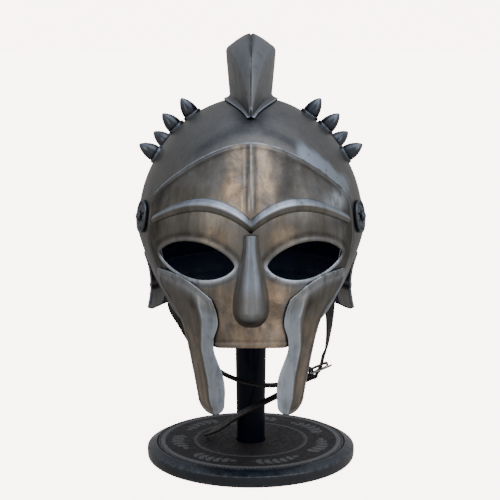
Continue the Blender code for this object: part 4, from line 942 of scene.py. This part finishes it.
# Height = thickness * (flat disc + petal * |cos(half of petals * angle)| shape), by radius share.
def makeRosette(name, node, sign):
    centre = onForm(np.radians(rosette["azimuth"]) * sign, rosette["z"])
    normal = normalAt(np.radians(rosette["azimuth"]) * sign, rosette["z"])
    across = unit(np.cross([0, 0, 1.0], normal))
    upward = np.cross(normal, across)
    share = np.concatenate([np.linspace(0, 1, rosette["rings"]),
                            np.linspace(1, 0, 6)[1:]])  # out, and back below
    above = np.arange(len(share)) < rosette["rings"]
    angle = 2 * np.pi * np.arange(rosette["around"]) / rosette["around"]
    lobe = np.abs(np.cos(angle * rosette["petals"] / 2))[None, :]
    edge = np.sqrt(np.clip(1 - (1 - lobe) ** 1.6, 0, 1))
    flat = tableAt(rosette["flat"], share)[0][:, None]
    petal = tableAt(rosette["petal"], share)[0][:, None]
    rib = 0.16 * bump(lobe, 1.0, 0.10) * petal
    height = rosette["thickness"] * (flat + petal * edge * 0.8 - rib) * above[:, None]
    reach = share[:, None, None] * rosette["radius"]
    flatPlace = (centre + across * (reach * np.cos(angle)[None, :, None])
                 + upward * (reach * np.sin(angle)[None, :, None]))
    ahead = (form["centreY"] - flatPlace[..., 1]) / form["halfLength"]
    azimuth = np.arctan2(flatPlace[..., 0] / form["halfWidth"], ahead)
    points = onForm(azimuth, flatPlace[..., 2], rosette["seat"] + np.maximum(height, 0)).reshape(-1, 3)
    raised = petal * edge
    ring = bump(share, 0.915, 0.05)[:, None] + 0 * angle
    wearAndSheen = (0.5 * ease(0.5, 0.8, raised) + 0.75 * ring) * above[:, None]
    between = ease(0.20, 0.28, share) * ease(0.86, 0.80, share)  # from the middle knob to the rim
    # painted shade in the hollows between the petals
    grimeAndShade = (1 - ease(0.05, 0.45, raised)) * between[:, None]
    upper = np.repeat(above, len(angle))[:, None]
    faces = facesOut(points, gridFaces(len(share), len(angle), around=True), upper * normal)
    values = dict(wearAndSheen=wearAndSheen.ravel(), grimeAndShade=grimeAndShade.ravel())
    makePiece(name, points, faces, [bluedSteel], [node], values)


def makePin(name, node, sign):
    outer = rosette["seat"] + rosette["thickness"] * 0.80 + gap["seat"]
    inner = -(gap["wall"] + pin["anchor"] + strap["thickness"] + strap["seat"])
    head = pin["head"]
    profile = [(0, inner - pin["tail"], 0), (head * 0.8, inner - pin["tail"], 0.0004),
               (head * 0.8, inner, 0.0002), (pin["radius"], inner, 0), (pin["radius"], outer, 0)]
    a = np.linspace(0, np.pi / 2, 12)
    dome = np.stack([head * np.cos(a), outer + pin["headHeight"] * (0.15 + 0.85 * np.sin(a))], 1)
    profile = np.concatenate([roundedProfile(profile), [(head, outer)], dome])
    out = (profile[:, 1] - outer) / pin["headHeight"]
    # lighter at the top of the dome, rub and painted highlight, and darker below it, painted shade
    values = dict(wearAndSheen=0.6 * ease(0.4, 1.0, out), grimeAndShade=0.6 * ease(0.4, 0.1, out))
    azimuth = np.radians(rosette["azimuth"]) * sign
    turnedPiece(name, profile, 32, [bluedSteel], [node], values,
                normalAt(azimuth, rosette["z"]), onForm(azimuth, rosette["z"]))


for side, sign in (("left", -1), ("right", 1)):
    makeRosette(f"rosette{side.title()}", f"rosette_{side}", sign)
    makePin(f"templePin{side.title()}", f"temple_pin_{side}", sign)
print("studs and rosettes ready")

# chin strap: the route as shares of the drop from the temple pin, then along the buckle's own axes
buckle = dict(share=0.515, drop=0.1485, slope=24, length=0.018, wire=0.00125, prong=0.0009, keeper=0.0009,
              back=0.014,
              ply=0.0017, plyGap=0.0003, corner=0.003, keeperCorner=0.0016, tip=0.0045, sideGap=0.0009,
              sides=20)
anchorTable = ((0.009, 0.0), (0.0, 0.0), (-0.021, 0.0003), (-0.044, 0.0008), (-0.067, 0.0018))
buckleRoute = ((0.752, 0.411, 40), (0.652, 0.307, 58), (0.556, 0.186, 40), (0.425, 0.071, 12),
               (0.264, -0.010, 0), (0.101, -0.057, 0), (-0.081, -0.084, 0), (-0.254, -0.085, 0))
holeRoute = ((0.757, 0.425, 50), (0.754, 0.329, 34), (0.743, 0.237, 19), (0.724, 0.155, 9))
tailRoute = ((0.110, 0.025, 0.105), (0.232, 0.092, 0.212), (0.476, 0.286, 0.415), (0.667, 0.490, 0.611),
             (0.833, 0.714, 0.812))
stand = dict(baseRadius=0.1015, baseHeight=0.0155, edgeZ=0.0112, bevel=0.0080, lip=0.0014, inlayGap=0.0006,
             inlayThickness=0.0022, inlayProud=0.0003, postFoot=0.0135, postTop=0.0178, socketDepth=0.0100,
             headRadius=0.052, headHeight=0.034, headDome=0.078, headGap=0.0011, neck=0.020, step=0.006)
slope = np.radians(buckle["slope"])
buckleOrigin = np.array([buckle["share"] * form["halfWidth"], strap["y"], rosette["z"] - buckle["drop"]])
buckleAxes = np.array([[np.cos(slope), 0, np.sin(slope)], [0, 1, 0], [-np.sin(slope), 0, np.cos(slope)]])


def inBuckle(points):  # from the buckle's own axes: x to its front bar, y across, z away from the chin
    return buckleOrigin + np.asarray(points, float) @ buckleAxes


def anchorRows(sign):
    above, inward = np.array(anchorTable).T
    z = rosette["z"] + above
    azimuth = np.radians(rosette["azimuth"]) * sign
    lift = -(gap["wall"] + pin["anchor"] + strap["thickness"] / 2) - inward
    width = np.cross([0, 0, 1.0], normalAt(azimuth, z))
    width = width * np.where(width[:, 1] < 0, -1, 1)[:, None]
    return np.concatenate([onForm(azimuth, z, lift), width], 1)


def hangingRows(route, sign):
    reach = abs(onForm(np.radians(rosette["azimuth"]), rosette["z"], -gap["wall"])[0])
    across, down, twist = np.array(route, float).T
    twist = np.radians(twist)
    x, z = sign * reach * across, rosette["z"] - buckle["drop"] * (1 - down)
    return np.stack([x, strap["y"] + 0 * x, z, sign * np.sin(twist), np.cos(twist), 0 * x], 1)


def buckleRows(places):
    places = np.array([(along, 0, up) for along, up in places])
    return np.concatenate([inBuckle(places), np.tile([0.0, 1.0, 0.0], (len(places), 1))], 1)


# A strap with a rounded section carried along the route; holes are distances from its free end.
def ribbonPiece(name, node, rows, holes=()):
    rows = through(rows, 10)
    middle = rows[:, :3]
    along = unit(np.gradient(middle, axis=0))
    width = rows[:, 3:] - along * (rows[:, 3:] * along).sum(1, keepdims=True)
    width = unit(width)
    thick = np.cross(along, width)
    half, deep, corner = strap["width"] / 2, strap["thickness"] / 2, strap["corner"]
    flat = np.linspace(-1, 1, 13)[1:-1] * (half - corner)
    turn = np.linspace(0, np.pi / 2, 5)
    edgeX, edgeZ = half - corner + corner * np.cos(turn), deep - corner + corner * np.sin(turn)
    top = np.stack([flat, deep - strap["crown"] * (flat / half) ** 2], 1)
    # once round: top from left to right, right edge, underside from right to left, left edge
    section = np.concatenate([top, np.stack([edgeX[::-1], edgeZ[::-1]], 1), np.stack([edgeX, -edgeZ], 1),
                              -top, np.stack([-edgeX[::-1], -edgeZ[::-1]], 1), np.stack([-edgeX, edgeZ], 1)])
    across, up = section[:, 0], section[:, 1]
    run = np.concatenate([[0], np.cumsum(np.linalg.norm(np.diff(middle, axis=0), axis=1))])
    left = run[-1] - run
    rounding = half * 0.85
    tip = np.sqrt(1 - np.clip(1 - left / rounding, 0, 1) ** 2)
    sink, dark = np.zeros((len(run), len(across))), np.zeros((len(run), len(across)))
    for spot in holes:
        reach = np.sqrt((left[:, None] - spot) ** 2 + across[None, :] ** 2)
        sink = np.maximum(sink, ease(0.0013, 0.0008, reach))
        # the colour round each hole is painted near-black: painted shade
        dark = np.maximum(dark, ease(0.0015, 0.0009, reach))
    a = across[None, :] * np.maximum(tip, 0.06)[:, None]
    u = up[None, :] * (1 - 0.55 * sink) * (0.75 + 0.25 * np.maximum(tip, 0.06))[:, None]
    points = middle[:, None] + width[:, None] * a[..., None] + thick[:, None] * u[..., None]
    points = np.concatenate([middle[:1, None] + 0 * points[:1], points, middle[-1:, None] + 0 * points[:1]])
    faces = gridFaces(points.shape[0], points.shape[1], around=True)
    edge = np.broadcast_to(ease(half - corner, half, np.abs(across)), (len(run), len(across)))
    pad = lambda v: np.concatenate([v[:1], v, v[-1:]]).ravel()
    values = dict(wearAndSheen=pad(0.8 * edge), grimeAndShade=pad(dark))
    outward = (points - points.mean(1, keepdims=True)).reshape(-1, 3)
    points = points.reshape(-1, 3)
    print(name, "length", round(float(run[-1]) * 1000, 1), "mm")
    makePiece(name, points, facesOut(points, faces, outward), [leather], [node], values)


def makeStraps():
    fold = buckle["wire"] + strap["seat"] + strap["thickness"] / 2
    back, ply = buckle["back"], buckle["ply"]
    places = [(-back * s, -ply) for s in (1.43, 1.0, 0.57)] + [(-back * 0.25, -fold * 0.92)]
    places += [(fold * np.cos(a), fold * np.sin(a)) for a in np.radians(-90 + 30 * np.arange(7))]
    places += [(-back * 0.25, fold * 0.92), (-back * 0.57, ply), (-back * 1.36, ply)]
    rows = np.concatenate([anchorRows(-1), hangingRows(buckleRoute, -1), buckleRows(places)])
    ribbonPiece("buckleStrap", "buckle_strap", rows)
    under = buckle["wire"] + gap["seat"] + strap["seat"] + 1.5 * strap["thickness"] + buckle["plyGap"]
    turn = under + buckle["length"] * 0.067
    shares = ((0.989, 0.489), (0.733, 0.144), (0.522, -0.089))
    places = [(buckle["length"] * a, buckle["length"] * u) for a, u in shares]
    places += [(turn * 0.94, -turn * 0.42), (turn * 0.55, -turn * 0.86), (0.0, -under)]
    places += [(-back * 0.6, -under), (-back, -under), (-back * 1.5, -under)]
    rows = np.concatenate([anchorRows(1), hangingRows(holeRoute, 1), buckleRows(places)])
    start = rows[-1, :3]
    rest = stand["baseHeight"] + stand["inlayProud"] + 2 * gap["seat"] + strap["thickness"] / 2
    end = np.array([*strap["freeEnd"], rest])
    tail = start + (end - start) * np.array(tailRoute)
    rows = np.concatenate([rows, np.concatenate([tail, np.tile([0.0, 1.0, 0.15], (len(tail), 1))], 1),
                           [[*end, 0.55, 0.83, 0.0]]])
    ribbonPiece("holeStrap", "hole_strap", rows, holes=strap["holes"])
    free = np.linalg.norm(np.diff([start, *tail, end], axis=0), axis=1).sum()
    print("free end past the keeper", round(float(free) * 1000, 1), "mm")


# A round wire: circles of the radius round a flat path, across its tangent and the path's plane.
def wirePiece(name, node, path, radius, plane, closed):
    path = np.asarray(path, float)
    if closed:
        tangent = unit(np.roll(path, -1, 0) - np.roll(path, 1, 0))
    else:
        tangent = unit(np.gradient(path, axis=0))
    plane = np.asarray(plane, float)
    across = unit(np.cross(tangent, plane))
    turn = 2 * np.pi * np.arange(buckle["sides"]) / buckle["sides"]
    girth = np.full(len(path), radius)
    if not closed:
        ends = np.minimum(np.arange(len(path)), np.arange(len(path))[::-1])
        girth = radius * np.sqrt(np.clip(1 - (1 - np.clip(ends / 3, 0, 1)) ** 2, 0, 1))
    ring = across[:, None] * np.cos(turn)[None, :, None] + plane * np.sin(turn)[None, :, None]
    points = inBuckle((path[:, None] + ring * girth[:, None, None]).reshape(-1, 3))
    count = len(path) + 1 if closed else len(path)
    faces = gridFaces(count, len(turn), around=True) % (len(path) * len(turn))
    makePiece(name, points, faces[:, ::-1], [nickel], [node])


def roundedLoop(low, high, half, corner, steps=8, straight=10):
    rows = []
    for u, v, start in ((high - corner, half - corner, 0), (low + corner, half - corner, 90),
                        (low + corner, corner - half, 180), (high - corner, corner - half, 270)):
        a = np.radians(start + 90 * np.arange(steps + 1) / steps)
        rows.append(np.stack([u + corner * np.cos(a), v + corner * np.sin(a)], 1))
    loop = []
    for k in range(4):
        first, following = rows[k][-1], rows[(k + 1) % 4][0]
        t = (np.arange(1, straight) / straight)[:, None]
        loop += [rows[k], first + (following - first) * t]
    return np.concatenate(loop)


def makeBuckle():
    half = strap["width"] / 2 + buckle["wire"] + buckle["sideGap"]
    loop = roundedLoop(0.0, buckle["length"], half, buckle["corner"])
    path = np.stack([loop[:, 0], loop[:, 1], 0 * loop[:, 0]], 1)
    wirePiece("buckleFrame", "buckle_frame", path, buckle["wire"], (0, 0, 1), True)
    hook = buckle["wire"] + gap["seat"] + buckle["prong"]
    points = [(hook * np.cos(a), hook * np.sin(a)) for a in np.radians(80 + 190 * np.arange(7) / 6)]
    points += [(buckle["length"] * s, -hook) for s in (0.333, 0.667, 1.0)]
    points += [(buckle["length"] + buckle["tip"], -hook + buckle["tip"] * 0.09)]
    route = through(points, 8)
    path = np.stack([route[:, 0], 0 * route[:, 0], route[:, 1]], 1)
    wirePiece("buckleProng", "buckle_prong", path, buckle["prong"], (0, 1, 0), False)
    under = buckle["wire"] + gap["seat"] + strap["seat"] + 2 * strap["thickness"] + buckle["plyGap"]
    low = -(under + gap["seat"] + buckle["keeper"])
    high = buckle["ply"] + strap["thickness"] / 2 + gap["seat"] + buckle["keeper"]
    side = strap["width"] / 2 + gap["seat"] + buckle["keeper"]
    loop = roundedLoop(low, high, side, buckle["keeperCorner"])
    path = np.stack([-buckle["back"] + 0 * loop[:, 0], loop[:, 1], loop[:, 0]], 1)
    wirePiece("strapKeeper", "strap_keeper", path, buckle["keeper"], (1, 0, 0), True)


makeStraps()
makeBuckle()
print("chin strap ready")


# The stand is turned and lacquered: base, post and the block inside the bowl.
def makeStand():
    recess = stand["baseHeight"] + stand["inlayProud"] - stand["inlayThickness"] - gap["seat"]
    socket = stand["postFoot"] + gap["seat"]
    socketZ = stand["baseHeight"] - stand["socketDepth"]
    radius, top, bevel = stand["baseRadius"], stand["baseHeight"], stand["bevel"]
    rim = radius - bevel - stand["lip"]
    profile = roundedProfile([
        (0, 0, 0), (radius - 0.0030, 0, 0.0010), (radius - 0.0004, 0.0020, 0.0015), (radius, 0.0050, 0.0015),
        (radius, stand["edgeZ"], 0.0012), (radius - bevel * 0.97, top - 0.0004, 0.0010),
        (rim + 0.0002, top, 0.0003),
        (rim, top - 0.0006, 0.0002), (rim, recess, 0), (socket, recess, 0), (socket, socketZ, 0),
        (0, socketZ, 0)], 7)
    r, z = profile.T
    wearAndSheen = 0.9 * bump(z, stand["edgeZ"], 0.0010) * ease(rim, rim + 0.004, r)
    wearAndSheen += 0.8 * bump(r, rim + 0.0006, 0.0008) * ease(0.012, 0.015, z)
    wearAndSheen += 0.4 * bump(z, 0.003, 0.002) * ease(radius - 0.003, radius, r)
    turnedPiece("standBase", profile, 224, [baseLacquer], ["stand_base"], dict(wearAndSheen=wearAndSheen))

    crownZ = form["widestZ"] + form["crownRise"] - gap["wall"] - stand["headGap"]
    blockZ = crownZ - stand["headHeight"]
    postTop = blockZ + stand["headHeight"] * 0.45
    foot, thick, shoulder = stand["postFoot"], stand["postTop"], blockZ - gap["seat"] - stand["neck"]
    profile = roundedProfile([
        (0, socketZ + gap["seat"], 0), (foot, socketZ + gap["seat"], 0.0003), (foot + 0.0001, 0.022, 0),
        (thick, shoulder, 0.0008), (thick * 0.8, shoulder, 0.0002), (thick * 0.8, postTop, 0.0005),
        (0, postTop, 0)])
    turnedPiece("standPost", profile, 72, [shadedPostLacquer], ["stand_post"])

    bore, wide, low = thick * 0.8 + gap["seat"], stand["headRadius"], blockZ - stand["neck"]
    lean = np.arcsin(wide / stand["headDome"])
    round = stand["headDome"]
    dome = [(round * np.sin(a), crownZ - round * (1 - np.cos(a))) for a in lean * np.linspace(1, 0, 16)]
    under = roundedProfile([
        (bore, low, 0), (wide * 0.5, low, 0.0012), (wide * 0.5, blockZ - stand["step"] * 0.67, 0.004),
        (wide, blockZ + stand["step"], 0.0015), dome[1] + (0,)])[:-1]
    boreTop = postTop + gap["seat"]
    profile = np.concatenate([under, dome[1:], [(0.0, boreTop), (bore, boreTop), (bore, low)]])
    turnedPiece("standHead", profile, 72, [shadedPostLacquer], ["stand_head"])


# the leather disc that is let into the base
inlay = dict(rings=((0.0862, 0.0042), (0.0548, 0.0012)), stitches=((0.0900, 150), (0.0530, 104)), sprigs=7,
             sprigRadius=0.0705, depth=0.0003, radial=112, around=640)


# How far a point lies inside a leaf: positive within two arcs that meet at its tips.
def leafAt(u, v, x, y, angle, length, width):
    c, s = np.cos(angle), np.sin(angle)
    along, off = (u - x) * c + (v - y) * s, -(u - x) * s + (v - y) * c
    share = np.clip(along / length, 0, 1)
    half = width * np.sin(np.pi * share**0.8) ** 0.8
    rib = 0.00022
    inside = half - np.abs(off)
    return np.where((along > 0) & (along < length), np.minimum(inside, np.abs(off) - rib), -1.0)


# Polar grid; the pressed pattern is the union of rings, stitch dashes and leaf sprigs.
def makeInlay():
    radius = stand["baseRadius"] - stand["bevel"] - stand["lip"] - stand["inlayGap"]
    hole = stand["postFoot"] + 2 * gap["seat"]
    top = stand["baseHeight"] + stand["inlayProud"]
    r = np.linspace(hole + 0.0003, radius - 0.0005, inlay["radial"])[:, None]
    turn = (2 * np.pi * np.arange(inlay["around"]) / inlay["around"])[None, :]
    press = 0 * (r + turn)
    for at, width in inlay["rings"]:
        press = np.maximum(press, ease(width / 2 + 0.0003, width / 2 - 0.0003, np.abs(r - at)) + 0 * turn)
    for at, count in inlay["stitches"]:
        dash = ease(0.10, 0.30, np.abs(np.sin(turn * count / 2)) - 0.35)
        press = np.maximum(press, 0.9 * dash * ease(0.0009, 0.0003, np.abs(r - at)))
    sector = 2 * np.pi / inlay["sprigs"]
    local = (turn + 0.35 + sector / 2) % sector - sector / 2
    u, v = (local * inlay["sprigRadius"]) + 0 * r, (r - inlay["sprigRadius"]) + 0 * turn
    v = v - 0.0016 * np.cos(u / 0.008)  # the stem bends
    stem = 0.00042 - np.abs(v)
    pattern = np.where(np.abs(u) < 0.0215, stem, -1.0)
    for k in range(5):
        x = -0.0175 + 0.0078 * k
        for side in (-1, 1):
            pattern = np.maximum(pattern, leafAt(u, v, x, 0, side * 0.85, 0.0092 - 0.0005 * k, 0.0025))
    pattern = np.maximum(pattern, leafAt(u, v, 0.0200, 0, 0.0, 0.0080, 0.0025))
    press = np.maximum(press, ease(-0.0002, 0.0003, pattern))
    height = top - 0.0001 - inlay["depth"] * 0.5 * (1 - press)
    grid = np.stack([r * np.cos(turn), r * np.sin(turn), height], -1)
    ringAt = lambda at, z: np.stack(np.broadcast_arrays(at * np.cos(turn), at * np.sin(turn), z), -1)
    low = top - stand["inlayThickness"]
    rings = [ringAt(hole, low), ringAt(hole, top - 0.0005), grid, ringAt(radius, top - 0.0006),
             ringAt(radius, low), ringAt(hole, low)]
    points = np.concatenate(rings)
    emboss = np.zeros(points.shape[:2])
    emboss[2 : 2 + len(press)] = press
    faces = gridFaces(points.shape[0], inlay["around"], around=True)
    makePiece("standInlay", points.reshape(-1, 3), faces, [hide], ["stand_inlay"],
              dict(emboss=emboss.ravel()))


makeStand()
makeInlay()
print("stand ready")

# floor, lights and camera
scene = bpy.context.scene
studio = dict(floor=(0.80, 0.79, 0.78), page=(1.0, 0.840, 0.800), pageStrength=8.0, floorStrength=7.6,
              behind=0.70, left=0.84, right=1.20, middle=(0, 0, 0.22),
              sky=((-1.0, (0.40, 0.39, 0.38)), (-0.30, (0.55, 0.53, 0.51)), (0.0, (0.62, 0.61, 0.60)),
                   (0.45, (0.59, 0.60, 0.62)), (0.80, (0.82, 0.88, 0.98)), (1.0, (1.00, 1.10, 1.26))))


def makeFloor():
    look = Look("paleFloor", Specular_IOR_Level=0.1, Emission_Strength=studio["floorStrength"],
                Emission_Color=(*studio["page"], 1))
    shade = tuple(c * 0.995 for c in studio["floor"])
    material = look.finish(look.mix(look.remap(look.noise(3, 2), 0.3, 0.7), studio["floor"], shade), 0.9)
    turn = 2 * np.pi * np.arange(96) / 96
    reach = np.array([0.0, 0.3, 0.8, 2.0, 6.0, 20.0, 60.0, 160.0])[:, None]
    points = np.stack(np.broadcast_arrays(reach * np.cos(turn), reach * np.sin(turn), -0.0001), -1)
    mesh = bpy.data.meshes.new("paleFloor")
    mesh.from_pydata(points.reshape(-1, 3).tolist(), [], gridFaces(8, 96, around=True).tolist())
    mesh.materials.append(material)
    floor = bpy.data.objects.new("paleFloor", mesh)
    scene.collection.objects.link(floor)
    floor.visible_glossy = floor.visible_diffuse = False  # the page is seen, but doesn't light the helmet


def makeWorld():  # the camera sees the page, and the steel a sky that brightens upward and is duller behind
    world = bpy.data.worlds.new("studio")
    world.use_nodes = True
    scene.world = world
    nodes, links = world.node_tree.nodes, world.node_tree.links
    nodes.clear()
    page, light = nodes.new("ShaderNodeBackground"), nodes.new("ShaderNodeBackground")
    page.inputs["Color"].default_value = (*studio["page"], 1)
    page.inputs["Strength"].default_value = studio["pageStrength"]
    split = nodes.new("ShaderNodeSeparateXYZ")
    links.new(nodes.new("ShaderNodeTexCoord").outputs["Generated"], split.inputs[0])
    ramp = nodes.new("ShaderNodeValToRGB")
    while len(ramp.color_ramp.elements) < len(studio["sky"]):
        ramp.color_ramp.elements.new(0.5)
    for element, (height, colour) in zip(ramp.color_ramp.elements, studio["sky"]):
        element.position = (height + 1) / 2
        element.color = (*colour, 1)
    strength = nodes.new("ShaderNodeMath")
    strength.operation = "MULTIPLY"
    links.new(strength.outputs[0], light.inputs["Strength"])
    for source, socket, *ends in (
            ("Z", ramp.inputs["Fac"], -1, 1, 0, 1),
            ("Y", strength.inputs[0], -0.2, 0.6, 1.0, studio["behind"]),
            ("X", strength.inputs[1], -1, 1, studio["left"], studio["right"])):
        share = nodes.new("ShaderNodeMapRange")
        for key, number in zip(("From Min", "From Max", "To Min", "To Max"), ends):
            share.inputs[key].default_value = number
        links.new(split.outputs[source], share.inputs["Value"])
        links.new(share.outputs["Result"], socket)
    links.new(ramp.outputs["Color"], light.inputs["Color"])
    mix, out = nodes.new("ShaderNodeMixShader"), nodes.new("ShaderNodeOutputWorld")
    links.new(nodes.new("ShaderNodeLightPath").outputs["Is Camera Ray"], mix.inputs["Fac"])
    links.new(light.outputs[0], mix.inputs[1])
    links.new(page.outputs[0], mix.inputs[2])
    links.new(mix.outputs[0], out.inputs["Surface"])


def addLight(name, kind, place, energy, colour, **sizes):  # aimed at the middle of the helmet
    light = bpy.data.lights.new(name, kind)
    light.energy = energy
    light.color = colour
    for key, value in sizes.items():
        setattr(light, key, value)
    item = bpy.data.objects.new(name, light)
    item.location = place
    item.rotation_euler = (Vector(studio["middle"]) - item.location).to_track_quat("-Z", "Y").to_euler()
    scene.collection.objects.link(item)


makeFloor()
makeWorld()
addLight("topSun", "SUN", (0.3, -0.6, 2.0), 0.75, (1.0, 0.985, 0.97), angle=0.9)
addLight("leftBox", "AREA", (-1.1, -1.2, 0.75), 2.6, (1.0, 0.95, 0.88), shape="RECTANGLE", size=0.5,
         size_y=1.0)
addLight("rightBox", "AREA", (1.2, -0.9, 0.85), 3.6, (0.86, 0.93, 1.0), shape="RECTANGLE", size=0.5,
         size_y=1.1)

view = dict(place=(-0.0008, -1.2, 0.394), downward=9, lens=90.9, sensor=36)
lens = bpy.data.cameras.new("camera")
lens.lens = view["lens"]
lens.sensor_width = view["sensor"]
camera = bpy.data.objects.new("camera", lens)
camera.location = view["place"]
camera.rotation_euler = (np.radians(90 - view["downward"]), 0, 0)
scene.collection.objects.link(camera)
scene.camera = camera
